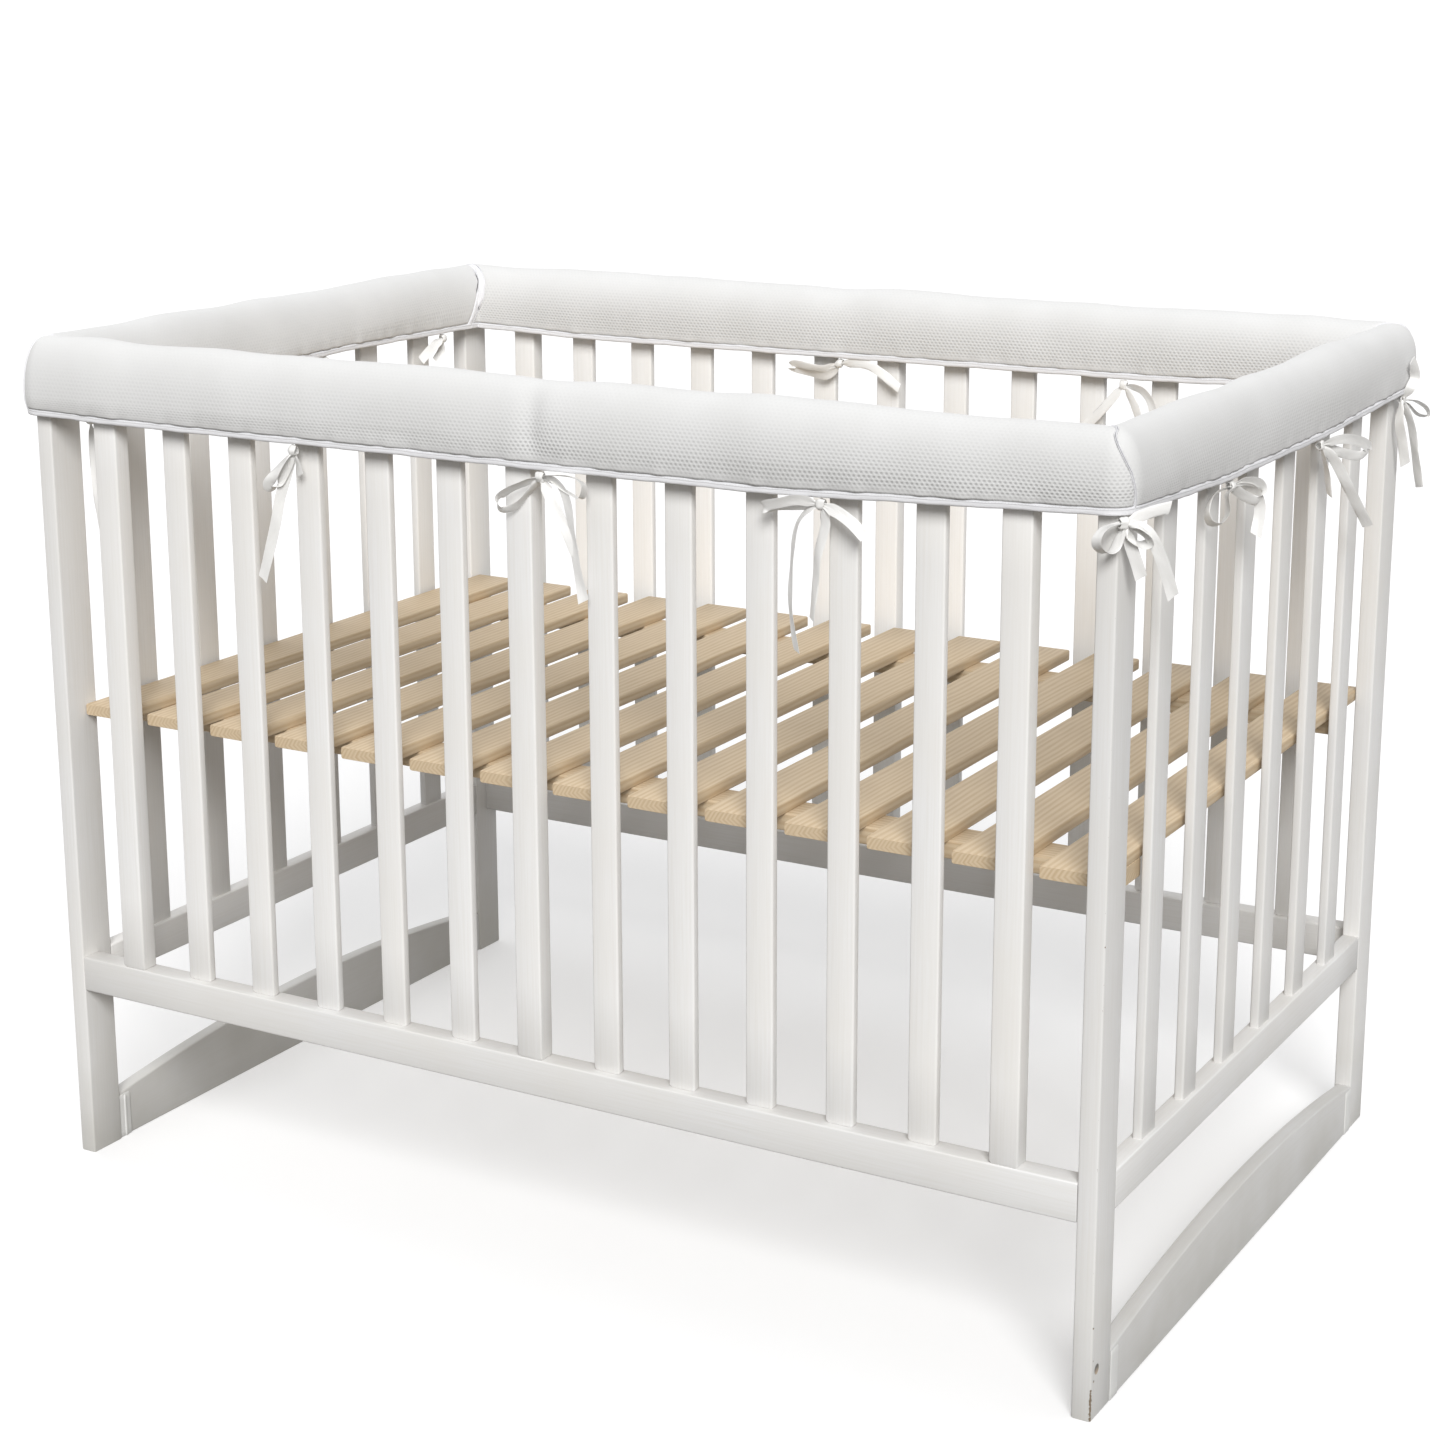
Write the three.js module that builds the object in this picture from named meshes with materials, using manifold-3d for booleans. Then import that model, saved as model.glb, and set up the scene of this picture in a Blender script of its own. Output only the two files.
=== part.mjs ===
// A slatted crib whose four top rails wear padded cloth covers.
// Each cover is a quilted mesh pad folded over its rail, edged all round with a
// cloth binding and tied under the rail with satin ribbon bows.
// Millimetres, +Z up. The origin is on the floor under the middle of the whole,
// ties included. X runs along the crib, and Y runs from the front to the back.

import * as THREE from "three";
import { mergeVertices } from "three/addons/utils/BufferGeometryUtils.js";
import Module from "manifold-3d";

const wasm = await Module();
wasm.setup();

// Driving dimensions of the crib
const CRIB_LENGTH = 1250;
const CRIB_WIDTH = 820;
const FIT = 0.3; // the gap between two pieces that meet
const POST = { x: 20, y: 46, top: 924, chamfer: 2.5 };
const RAIL = { height: 40, lowBottom: 198, topBottom: 884, chamfer: 2 };
const SIDE_RAIL_DEPTH = 25;
const END_RAIL_DEPTH = 20;
const SIDE_SLATS = { count: 13, pitch: 88.3, width: 30, chamfer: 2.5 };
const FLUSH_SLAT = { depth: 21, setBack: 0 };
const THIN_SLAT = { depth: 10, setBack: 8 };
const END_SLATS = { count: 6, width: 35, depth: 10 };
const FLUSH_EVERY = 6; // the first, the seventh and the last slat stand flush

// The arched board between the feet of each end, and its two push-on brackets
const BOARD = { thickness: 17, endHeight: 54, crown: 26, arcSteps: 16 };
const BRACKET = { length: 18, wall: 2, height: 52, ridge: 1.5 };

// The lying base: flat slats on two battens, held between the four posts
const BASE = { top: 528, thickness: 13, sideClearance: 3 };
const BASE_BATTEN = { width: 44, height: 18, inset: 60, sink: 1 };
const BASE_SLATS = { count: 14, width: 58 };

// The covers: the section of the pad across its rail
const COVER = {
  halfWidth: 27, // from the rail's middle to the widest line of the pad
  top: 940,
  waist: 896, // the height of the widest line
  power: 0.8, // under 1 is squarer than an ellipse
  tuck: 5, // how far the pad draws in at its hem
  topSteps: 9,
  sideSteps: 3,
  alongSteps: { long: 24, short: 16 },
  cornerSteps: 3,
};
const BINDING = { height: 7, seamWidth: 3 };
const CHANNEL_CLEARANCE = 2; // between the pad and the sides of the rail in it

// Heights of each cover's hem, from its left end to its right end, seen from
// outside: at runs from -1 to 1 along the cover
const HEMS = {
  front: [
    { at: -1, z: 856 },
    { at: -0.8, z: 854 },
    { at: 0.45, z: 854 },
    { at: 1, z: 867 },
  ],
  right: [
    { at: -1, z: 867 },
    { at: -0.45, z: 858 },
    { at: 0.25, z: 857 },
    { at: 1, z: 866 },
  ],
  back: [
    { at: -1, z: 866 },
    { at: -0.6, z: 858 },
    { at: 0.7, z: 856 },
    { at: 1, z: 861 },
  ],
  left: [
    { at: -1, z: 861 },
    { at: -0.3, z: 864 },
    { at: 0.6, z: 860 },
    { at: 1, z: 856 },
  ],
};

// Soft dents and swells of the pads: at is along the cover, depth is inwards
const DENTS = {
  front: [
    { at: 23, depth: 3, reach: 30 },
    { at: -330, depth: -2, reach: 90 },
    { at: 300, depth: -2, reach: 110 },
    { at: 520, depth: 2, reach: 45 },
  ],
  right: [
    { at: -90, depth: 2, reach: 50 },
    { at: 150, depth: -2, reach: 80 },
  ],
  back: [
    { at: -210, depth: 2, reach: 60 },
    { at: 330, depth: -2, reach: 120 },
  ],
  left: [
    { at: 60, depth: 2, reach: 60 },
    { at: -170, depth: -2, reach: 80 },
  ],
};

// Slow waves along every pad, and how far from its ends they fade in
const WAVES = [
  { height: 0.8, length: 61 },
  { height: 0.6, length: 23 },
];
const FADE = { from: 20, to: 120 };

// The ribbon ties. at is along the cover, seen from outside, and face is the
// hem that the knot hangs from. A loop has its length and its slope below the
// level; a tail has how far it reaches sideways and how far it drops. A minus
// length or reach goes to the left of someone who faces the knot.
const RIBBON = { width: 11, thickness: 1.2, loopSwell: 5, loopSteps: 5, tailSteps: 5 };
const KNOT = { x: 6, y: 4.5, z: 6.4 };
const TIES = {
  front: [
    {
      name: "tie_front_left",
      at: -269,
      face: "outer",
      loops: [{ length: -46, slope: 55 }],
      tails: [{ reach: -20, drop: 138, twist: 20 }],
    },
    {
      name: "tie_front_middle",
      at: 32,
      face: "outer",
      loops: [
        { length: -48, slope: 40 },
        { length: 30, slope: 22 },
      ],
      tails: [
        { reach: 38, drop: 134, twist: 15 },
        { reach: -12, drop: 46, twist: 60 },
      ],
    },
    {
      name: "tie_front_right",
      at: 338,
      face: "outer",
      loops: [{ length: -56, slope: 9 }],
      tails: [
        { reach: 40, drop: 36, twist: 0 },
        { reach: -26, drop: 146, twist: 70 },
        { reach: -10, drop: 108, twist: 50 },
      ],
    },
    {
      name: "tie_corner_left_inner",
      at: -578,
      face: "inner",
      loops: [],
      tails: [{ reach: -14, drop: 132, twist: 40 }],
    },
    {
      name: "tie_corner_front_right",
      at: 631.2,
      face: "corner",
      loops: [{ length: -32, slope: 38 }],
      tails: [
        { reach: 44, drop: 10, twist: 0 },
        { reach: 8, drop: 64, twist: 20 },
        { reach: 42, drop: 82, twist: 10 },
      ],
    },
  ],
  right: [
    {
      name: "tie_right_front",
      at: -159,
      face: "outer",
      loops: [
        { length: -44, slope: 72 },
        { length: 26, slope: 15 },
      ],
      tails: [{ reach: 22, drop: 62, twist: 25 }],
    },
    {
      name: "tie_right_back",
      at: 101,
      face: "outer",
      loops: [{ length: 52, slope: 14 }],
      tails: [
        { reach: 58, drop: 98, twist: 10 },
        { reach: 12, drop: 40, twist: 60 },
      ],
    },
    {
      name: "tie_corner_back_right",
      at: 380,
      face: "outer",
      loops: [{ length: 30, slope: 20 }],
      tails: [
        { reach: -6, drop: 78, twist: 15 },
        { reach: 20, drop: 100, twist: 30 },
      ],
    },
  ],
  back: [
    {
      name: "tie_back_left",
      at: 60,
      face: "inner",
      loops: [{ length: -52, slope: 10 }],
      tails: [{ reach: 48, drop: 26, twist: 0 }],
    },
    {
      name: "tie_back_right",
      at: -310,
      face: "inner",
      loops: [{ length: 34, slope: 66 }],
      tails: [
        { reach: -62, drop: 58, twist: 10 },
        { reach: 14, drop: 74, twist: 30 },
      ],
    },
  ],
  left: [
    {
      name: "tie_left",
      at: -56,
      face: "inner",
      loops: [
        { length: -32, slope: 58 },
        { length: 30, slope: 66 },
      ],
      tails: [{ reach: 16, drop: 50, twist: 20 }],
    },
    {
      name: "tie_corner_back_left",
      at: -300,
      face: "inner",
      loops: [],
      tails: [
        { reach: -28, drop: 28, twist: 0 },
        { reach: -8, drop: 24, twist: 20 },
      ],
    },
    {
      name: "tie_corner_left_outer",
      at: 372,
      face: "outer",
      loops: [],
      tails: [{ reach: -8, drop: 52, twist: 35 }],
    },
  ],
};

// The four sides. A side's group has x along its rail, to the right of someone
// who looks at it from outside, and y towards the inside of the crib, with
// y = 0 in the middle of the rail.
const FRONT_LINE = CRIB_WIDTH / 2 - SIDE_RAIL_DEPTH / 2;
const END_LINE = CRIB_LENGTH / 2 - END_RAIL_DEPTH / 2;
const SIDES = [
  { name: "front", turn: 0, offset: FRONT_LINE, half: END_LINE, isLong: true },
  { name: "right", turn: 90, offset: END_LINE, half: FRONT_LINE, isLong: false },
  { name: "back", turn: 180, offset: FRONT_LINE, half: END_LINE, isLong: true },
  { name: "left", turn: 270, offset: END_LINE, half: FRONT_LINE, isLong: false },
];

const material = (color, roughness) =>
  new THREE.MeshStandardMaterial({ color, roughness, metalness: 0 });
const PAINT = material(0xe4e1dc, 0.55);
const BARE_WOOD = material(0xc9a878, 0.7);
const MESH_CLOTH = material(0xe6e6e8, 0.9);
const BINDING_CLOTH = material(0xf2f2f4, 0.8);
const SATIN = material(0xf5f5f5, 0.4);

// A three.js geometry as a solid that can be joined and cut.
function solidOf(geometry) {
  const bare = geometry.clone();
  bare.deleteAttribute("normal");
  bare.deleteAttribute("uv");
  const merged = mergeVertices(bare, 1e-4);
  return new wasm.Manifold(
    new wasm.Mesh({
      numProp: 3,
      vertProperties: new Float32Array(merged.attributes.position.array),
      triVerts: new Uint32Array(merged.index.array),
    }),
  );
}

// A solid back as a three.js geometry.
function geometryOf(solid) {
  const mesh = solid.getMesh();
  const positions = new Float32Array(mesh.numVert * 3);
  for (let i = 0; i < mesh.numVert; i++) {
    const start = i * mesh.numProp;
    positions.set(mesh.vertProperties.subarray(start, start + 3), i * 3);
  }
  return new THREE.BufferGeometry()
    .setAttribute("position", new THREE.BufferAttribute(positions, 3))
    .setIndex(new THREE.BufferAttribute(mesh.triVerts.slice(), 1));
}

const joined = (solids) => solids.reduce((all, next) => all.add(next));

function named(name, geometry, finish) {
  const mesh = new THREE.Mesh(geometry, finish);
  mesh.name = name;
  return mesh;
}

// A box between two corners.
function blockGeometry(low, high) {
  const size = high.map((value, axis) => value - low[axis]);
  const middle = high.map((value, axis) => (value + low[axis]) / 2);
  return new THREE.BoxGeometry(...size).translate(...middle);
}

// An upright stick with its four long edges chamfered.
function stickGeometry(low, high, chamfer) {
  const [x0, y0, z0] = low;
  const [x1, y1, z1] = high;
  const outline = new THREE.Shape(
    [
      [x0 + chamfer, y0],
      [x1 - chamfer, y0],
      [x1, y0 + chamfer],
      [x1, y1 - chamfer],
      [x1 - chamfer, y1],
      [x0 + chamfer, y1],
      [x0, y1 - chamfer],
      [x0, y0 + chamfer],
    ].map(([x, y]) => new THREE.Vector2(x, y)),
  );
  return new THREE.ExtrudeGeometry(outline, {
    depth: z1 - z0,
    bevelEnabled: false,
  }).translate(0, 0, z0);
}

// A level rail along x with its four long edges chamfered.
function railGeometry(low, high, chamfer) {
  const [x0, y0, z0] = low;
  const [x1, y1, z1] = high;
  return stickGeometry([-z1, y0, x0], [-z0, y1, x1], chamfer).rotateY(Math.PI / 2);
}

// Rings of points, one after another, as one closed solid. All rings have the
// same count of points and are convex, so each end is closed by a fan.
function sweptSolid(rings) {
  const perRing = rings[0].length;
  const positions = rings.flat().flatMap((point) => point.toArray());
  const faces = [];
  for (let ring = 0; ring + 1 < rings.length; ring++)
    for (let k = 0; k < perRing; k++) {
      const here = ring * perRing + k;
      const beside = ring * perRing + ((k + 1) % perRing);
      faces.push(here, beside, beside + perRing);
      faces.push(here, beside + perRing, here + perRing);
    }
  const last = (rings.length - 1) * perRing;
  for (let k = 1; k + 1 < perRing; k++) {
    faces.push(0, k + 1, k);
    faces.push(last, last + k, last + k + 1);
  }
  const geometry = new THREE.BufferGeometry()
    .setAttribute("position", new THREE.Float32BufferAttribute(positions, 3))
    .setIndex(faces);
  const solid = solidOf(geometry);
  if (solid.volume() > 0) return solid;
  for (let i = 0; i < faces.length; i += 3)
    [faces[i + 1], faces[i + 2]] = [faces[i + 2], faces[i + 1]];
  return solidOf(geometry.setIndex(faces));
}

// Posts: one at each corner, longer across the crib than along it.
function posts() {
  const group = new THREE.Group();
  const x1 = CRIB_LENGTH / 2;
  const y1 = CRIB_WIDTH / 2;
  for (const [end, signX] of [["left", -1], ["right", 1]])
    for (const [side, signY] of [["front", -1], ["back", 1]]) {
      const xs = [signX * x1, signX * (x1 - POST.x)].sort((a, b) => a - b);
      const ys = [signY * y1, signY * (y1 - POST.y)].sort((a, b) => a - b);
      const geometry = stickGeometry(
        [xs[0], ys[0], 0],
        [xs[1], ys[1], POST.top],
        POST.chamfer,
      );
      group.add(named(`post_${side}_${end}`, geometry, PAINT));
    }
  return group;
}

// A long side in its group's frame: two rails and thirteen slats.
function longSide(side) {
  const group = new THREE.Group();
  const halfRail = CRIB_LENGTH / 2 - POST.x - FIT;
  const outerFace = -SIDE_RAIL_DEPTH / 2;
  for (const [place, bottom] of [["lower", RAIL.lowBottom], ["top", RAIL.topBottom]]) {
    const geometry = railGeometry(
      [-halfRail, outerFace, bottom],
      [halfRail, outerFace + SIDE_RAIL_DEPTH, bottom + RAIL.height],
      RAIL.chamfer,
    );
    group.add(named(`rail_${place}_${side.name}`, geometry, PAINT));
  }
  for (let i = 0; i < SIDE_SLATS.count; i++) {
    const middle = (i - (SIDE_SLATS.count - 1) / 2) * SIDE_SLATS.pitch;
    const kind = i % FLUSH_EVERY === 0 ? FLUSH_SLAT : THIN_SLAT;
    const near = outerFace + kind.setBack;
    const geometry = stickGeometry(
      [middle - SIDE_SLATS.width / 2, near, RAIL.lowBottom + RAIL.height + FIT],
      [middle + SIDE_SLATS.width / 2, near + kind.depth, RAIL.topBottom - FIT],
      SIDE_SLATS.chamfer,
    );
    const number = String(i + 1).padStart(2, "0");
    group.add(named(`slat_${side.name}_${number}`, geometry, PAINT));
  }
  return group;
}

// An end in its group's frame: rails and slats glued into one frame.
function endFrame(side) {
  const half = CRIB_WIDTH / 2 - POST.y - FIT;
  const outer = -END_RAIL_DEPTH / 2;
  const pieces = [RAIL.lowBottom, RAIL.topBottom].map((bottom) =>
    solidOf(
      railGeometry(
        [-half, outer, bottom],
        [half, outer + END_RAIL_DEPTH, bottom + RAIL.height],
        RAIL.chamfer,
      ),
    ),
  );
  const gap = (2 * half - END_SLATS.count * END_SLATS.width) / (END_SLATS.count + 1);
  const tenon = RAIL.height / 2;
  for (let i = 0; i < END_SLATS.count; i++) {
    const start = -half + gap + i * (END_SLATS.width + gap);
    const geometry = stickGeometry(
      [start, -END_SLATS.depth / 2, RAIL.lowBottom + tenon],
      [start + END_SLATS.width, END_SLATS.depth / 2, RAIL.topBottom + tenon],
      SIDE_SLATS.chamfer,
    );
    pieces.push(solidOf(geometry));
  }
  return named(`end_frame_${side.name}`, geometryOf(joined(pieces)), PAINT);
}

// The board between the feet of an end: a flat foot and an arched top edge.
// A channel-shaped bracket is pushed over each of its ends.
function footBoard(side) {
  const half = CRIB_WIDTH / 2 - POST.y - FIT;
  const outline = new THREE.Shape();
  outline.moveTo(-half, 0);
  outline.lineTo(half, 0);
  for (let i = 0; i <= BOARD.arcSteps; i++) {
    const along = 1 - (2 * i) / BOARD.arcSteps;
    outline.lineTo(along * half, BOARD.endHeight + BOARD.crown * (1 - along * along));
  }
  const board = new THREE.ExtrudeGeometry(outline, {
    depth: BOARD.thickness,
    bevelEnabled: false,
  }).rotateX(Math.PI / 2);
  const outer = -END_RAIL_DEPTH / 2;
  board.translate(0, outer + BOARD.thickness, 0);
  const pieces = [solidOf(board)];
  for (const end of [-1, 1]) {
    const xs = [end * half, end * (half - BRACKET.length)].sort((a, b) => a - b);
    const inner = outer + BOARD.thickness + BRACKET.wall;
    pieces.push(solidOf(blockGeometry([xs[0], outer, 0], [xs[1], inner, BRACKET.height])));
    const ridge = end * (half - BRACKET.length / 2);
    pieces.push(
      solidOf(
        blockGeometry(
          [ridge - BRACKET.ridge, outer, 0],
          [ridge + BRACKET.ridge, inner + BRACKET.ridge, BRACKET.height],
        ),
      ),
    );
  }
  return named(`foot_board_${side.name}`, geometryOf(joined(pieces)), PAINT);
}

// The base: flat slats across two battens that run along the crib.
function base() {
  const halfX = CRIB_LENGTH / 2 - POST.x - FIT;
  const halfY = CRIB_WIDTH / 2 - SIDE_RAIL_DEPTH - BASE.sideClearance;
  const bottom = BASE.top - BASE.thickness;
  const pieces = [-1, 1].map((end) => {
    const outer = halfY - BASE_BATTEN.inset;
    const ys = [end * outer, end * (outer - BASE_BATTEN.width)].sort((a, b) => a - b);
    return solidOf(
      blockGeometry(
        [-halfX, ys[0], bottom - BASE_BATTEN.height],
        [halfX, ys[1], bottom + BASE_BATTEN.sink],
      ),
    );
  });
  const pitch = (2 * halfX - BASE_SLATS.width) / (BASE_SLATS.count - 1);
  for (let i = 0; i < BASE_SLATS.count; i++) {
    const start = -halfX + i * pitch;
    pieces.push(
      solidOf(
        blockGeometry([start, -halfY, bottom], [start + BASE_SLATS.width, halfY, BASE.top]),
      ),
    );
  }
  return named("base", geometryOf(joined(pieces)), BARE_WOOD);
}

// Height of a cover's hem at x, on straight lines between the rows of its table.
function hemHeight(side, x) {
  const rows = HEMS[side.name];
  const at = THREE.MathUtils.clamp(x / side.half, -1, 1);
  const next = Math.max(1, rows.findIndex((row) => row.at >= at));
  const [from, to] = [rows[next - 1], rows[next]];
  return THREE.MathUtils.mapLinear(at, from.at, to.at, from.z, to.z);
}

// How far the pad's surface lies inside its plain form at x: the sum of the
// soft dents and of two slow waves, all fading out at the two mitred ends.
function padDent(side, x) {
  const fromEnd = side.half - Math.abs(x);
  const fade = THREE.MathUtils.smoothstep(fromEnd, FADE.from, FADE.to);
  const wave = WAVES.reduce(
    (all, { height, length }) => all + height * Math.sin(x / length + side.turn),
    0,
  );
  const dents = DENTS[side.name].map(
    (dent) => dent.depth * Math.exp(-(((x - dent.at) / dent.reach) ** 2)),
  );
  return fade * (wave + dents.reduce((all, next) => all + next, 0));
}

// The pad's outline across the rail at x, from the outer hem over the top to
// the inner hem, as offsets y and heights z. lowest and highest are heights
// above the hem: with both, the outline is only a strip between them.
function padOutline(side, x, lowest, highest) {
  const dent = padDent(side, x);
  const hem = hemHeight(side, x);
  const widest = COVER.halfWidth - 0.6 * dent;
  const rise = COVER.top - COVER.waist - 0.8 * dent;
  const bottom = hem + lowest;
  const outline = [];
  const sideAt = (z) => {
    const down = (COVER.waist - z) / (COVER.waist - hem);
    return widest - COVER.tuck * down * down;
  };
  const isStrip = highest !== undefined;
  const sideTop = isStrip ? hem + highest : COVER.waist;
  const sideSteps = isStrip ? 1 : COVER.sideSteps;
  for (let i = 0; i <= sideSteps; i++) {
    const z = bottom + ((sideTop - bottom) * i) / sideSteps;
    outline.push({ y: -sideAt(z), z });
  }
  if (!isStrip)
    for (let i = 1; i < COVER.topSteps; i++) {
      const angle = (Math.PI * i) / COVER.topSteps;
      const across = Math.cos(angle);
      outline.push({
        y: -widest * Math.sign(across) * Math.abs(across) ** COVER.power,
        z: COVER.waist + rise * Math.sin(angle) ** COVER.power,
      });
    }
  for (let i = sideSteps; i >= 0; i--) {
    const z = bottom + ((sideTop - bottom) * i) / sideSteps;
    outline.push({ y: sideAt(z), z });
  }
  return outline;
}

// One ring of the pad. along is 0 to 1 on the straight stretch, and turn is the
// angle already turned into the rounded corner at its end.
function padRing(side, end, along, turn, lowest, highest) {
  const guess = end * along * side.half;
  return padOutline(side, guess, lowest, highest).map(({ y, z }) => {
    const radius = Math.max(-y, 2);
    const straight = side.half - y - radius;
    const x = end * (turn > 0 ? straight + radius * Math.sin(turn) : along * straight);
    return new THREE.Vector3(x, y + radius * (1 - Math.cos(turn)), z);
  });
}

// The whole pad as one solid, between the two mitre planes at its ends.
function padSolid(side, lowest = 0, highest) {
  const rings = [];
  const cornerTurns = [];
  for (let i = 1; i <= COVER.cornerSteps; i++)
    cornerTurns.push(((Math.PI / 4) * i) / COVER.cornerSteps);
  for (const turn of [...cornerTurns].reverse())
    rings.push(padRing(side, -1, 1, turn, lowest, highest));
  const steps = side.isLong ? COVER.alongSteps.long : COVER.alongSteps.short;
  for (let i = 0; i <= steps; i++) {
    const along = (2 * i) / steps - 1;
    rings.push(padRing(side, Math.sign(along) || 1, Math.abs(along), 0, lowest, highest));
  }
  for (const turn of cornerTurns)
    rings.push(padRing(side, 1, 1, turn, lowest, highest));
  return sweptSolid(rings);
}

// The part of a solid on the inner side of a plane parallel to a mitre, at a
// distance from it, and the part beyond that plane.
function beforeMitre(solid, side, end, distance) {
  const slant = Math.SQRT1_2;
  return solid.trimByPlane([-end * slant, -slant, 0], distance - side.half * slant);
}
function pastMitre(solid, side, end, distance) {
  const slant = Math.SQRT1_2;
  return solid.trimByPlane([end * slant, slant, 0], side.half * slant - distance);
}

function padCover(side) {
  const halfRail = side.isLong ? SIDE_RAIL_DEPTH / 2 : END_RAIL_DEPTH / 2;
  const crossRail = side.isLong ? END_RAIL_DEPTH / 2 : SIDE_RAIL_DEPTH / 2;
  const channelTop = POST.top + FIT;
  const wall = halfRail + CHANNEL_CLEARANCE;
  const crossWall = crossRail + CHANNEL_CLEARANCE;
  const end = side.half + crossWall;
  const channels = [blockGeometry([-end, -wall, 0], [end, wall, channelTop])];
  for (const sign of [-1, 1]) {
    const xs = [sign * end, sign * (side.half - crossWall)].sort((a, b) => a - b);
    const depth = 2 * COVER.halfWidth;
    channels.push(blockGeometry([xs[0], -wall, 0], [xs[1], depth, channelTop]));
  }
  const channel = joined(channels.map(solidOf));
  const seam = BINDING.seamWidth + FIT / 2;
  let pad = padSolid(side, BINDING.height + FIT);
  let rim = padSolid(side, 0, BINDING.height);
  const whole = padSolid(side);
  for (const sign of [-1, 1]) {
    pad = beforeMitre(pad, side, sign, seam + FIT);
    rim = rim.add(pastMitre(whole, side, sign, seam));
  }
  for (const sign of [-1, 1]) rim = beforeMitre(rim, side, sign, FIT / 2);
  const group = new THREE.Group();
  const padGeometry = geometryOf(pad.subtract(channel));
  const rimGeometry = geometryOf(rim.subtract(channel));
  group.add(named(`cover_${side.name}`, padGeometry, MESH_CLOTH));
  group.add(named(`binding_${side.name}`, rimGeometry, BINDING_CLOTH));
  return group;
}

// A flat ribbon along a path. The ribbon's width starts along the given
// direction and turns about the path by twist degrees on its way.
function ribbonSolid(path, steps, widthDirection, twist) {
  const rings = [];
  for (let i = 0; i <= steps; i++) {
    const t = i / steps;
    const point = path(t);
    const ahead = path(Math.min(1, t + 0.01));
    const behind = path(Math.max(0, t - 0.01));
    const tangent = ahead.sub(behind).normalize();
    const across = widthDirection.clone().addScaledVector(
      tangent,
      -tangent.dot(widthDirection),
    );
    across.normalize().applyAxisAngle(tangent, THREE.MathUtils.degToRad(twist * t));
    const through = new THREE.Vector3().crossVectors(tangent, across);
    const corner = (u, v) =>
      point
        .clone()
        .addScaledVector(across, (u * RIBBON.width) / 2)
        .addScaledVector(through, (v * RIBBON.thickness) / 2);
    rings.push([corner(-1, -1), corner(1, -1), corner(1, 1), corner(-1, 1)]);
  }
  return sweptSolid(rings);
}

// A bow in its own frame: x to the right of someone who faces it, y away from
// that person, z up, and the middle of the knot at the origin.
function bowSolid(tie) {
  const knot = new THREE.OctahedronGeometry(1, 1).scale(KNOT.x, KNOT.y, KNOT.z);
  const pieces = [solidOf(knot)];
  for (const { length, slope } of tie.loops) {
    const angle = THREE.MathUtils.degToRad(slope);
    const main = new THREE.Vector3(Math.sign(length) * Math.cos(angle), 0, -Math.sin(angle));
    const width = new THREE.Vector3(-main.z, 0, main.x);
    const loopAt = (t) =>
      main
        .clone()
        .multiplyScalar(Math.abs(length) * Math.sin(Math.PI * t))
        .add(new THREE.Vector3(0, -RIBBON.loopSwell * Math.sin(2 * Math.PI * t), 0));
    const overlap = 0.52;
    pieces.push(ribbonSolid((t) => loopAt(t * overlap), RIBBON.loopSteps, width, 0));
    pieces.push(ribbonSolid((t) => loopAt(1 - t * overlap), RIBBON.loopSteps, width, 0));
  }
  for (const { reach, drop, twist } of tie.tails) {
    const bend = new THREE.QuadraticBezierCurve3(
      new THREE.Vector3(0, 0, 0),
      new THREE.Vector3(0.75 * reach, -4, -0.25 * drop),
      new THREE.Vector3(reach, -1, -drop),
    );
    const width = new THREE.Vector3(drop, 0, reach).normalize();
    pieces.push(ribbonSolid((t) => bend.getPoint(t), RIBBON.tailSteps, width, twist));
  }
  return joined(pieces);
}

// The ties of one side, each knot just under the hem that it is sewn to.
function ties(side) {
  const group = new THREE.Group();
  const hemLine = COVER.halfWidth - COVER.tuck - 2;
  for (const tie of TIES[side.name]) {
    const mesh = named(tie.name, geometryOf(bowSolid(tie)), SATIN);
    const height = hemHeight(side, tie.at) - FIT - KNOT.z;
    mesh.position.set(tie.at, tie.face === "inner" ? hemLine : -hemLine, height);
    if (tie.face === "inner") mesh.rotation.z = Math.PI;
    if (tie.face === "corner") {
      mesh.position.y = -(tie.at - side.half);
      mesh.rotation.z = Math.PI / 4;
    }
    group.add(mesh);
  }
  return group;
}

const crib = new THREE.Group();
crib.add(posts(), base());
for (const side of SIDES) {
  const group = new THREE.Group();
  group.rotation.z = THREE.MathUtils.degToRad(side.turn);
  group.position.set(0, -side.offset, 0).applyEuler(group.rotation);
  if (side.isLong) group.add(longSide(side));
  else group.add(endFrame(side), footBoard(side));
  group.add(padCover(side), ties(side));
  crib.add(group);
}

// The bows reach further at one corner than at the others, so the crib moves
// a few millimetres to keep the middle of the whole over the origin.
const reach = new THREE.Box3().setFromObject(crib, true);
const middle = reach.getCenter(new THREE.Vector3());
crib.position.set(-middle.x, -middle.y, 0);

export default crib;
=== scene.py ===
"""A slatted crib with a padded mesh cover over each of its four top rails.

Every piece is a surface worked out with numpy from sizes that come from the
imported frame. Lengths are in metres. A side's own frame has x along its rail, to
the right as seen from outside, y towards the inside of the crib and z up, with
y = 0 in the middle of the rail.
"""

import math

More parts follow.
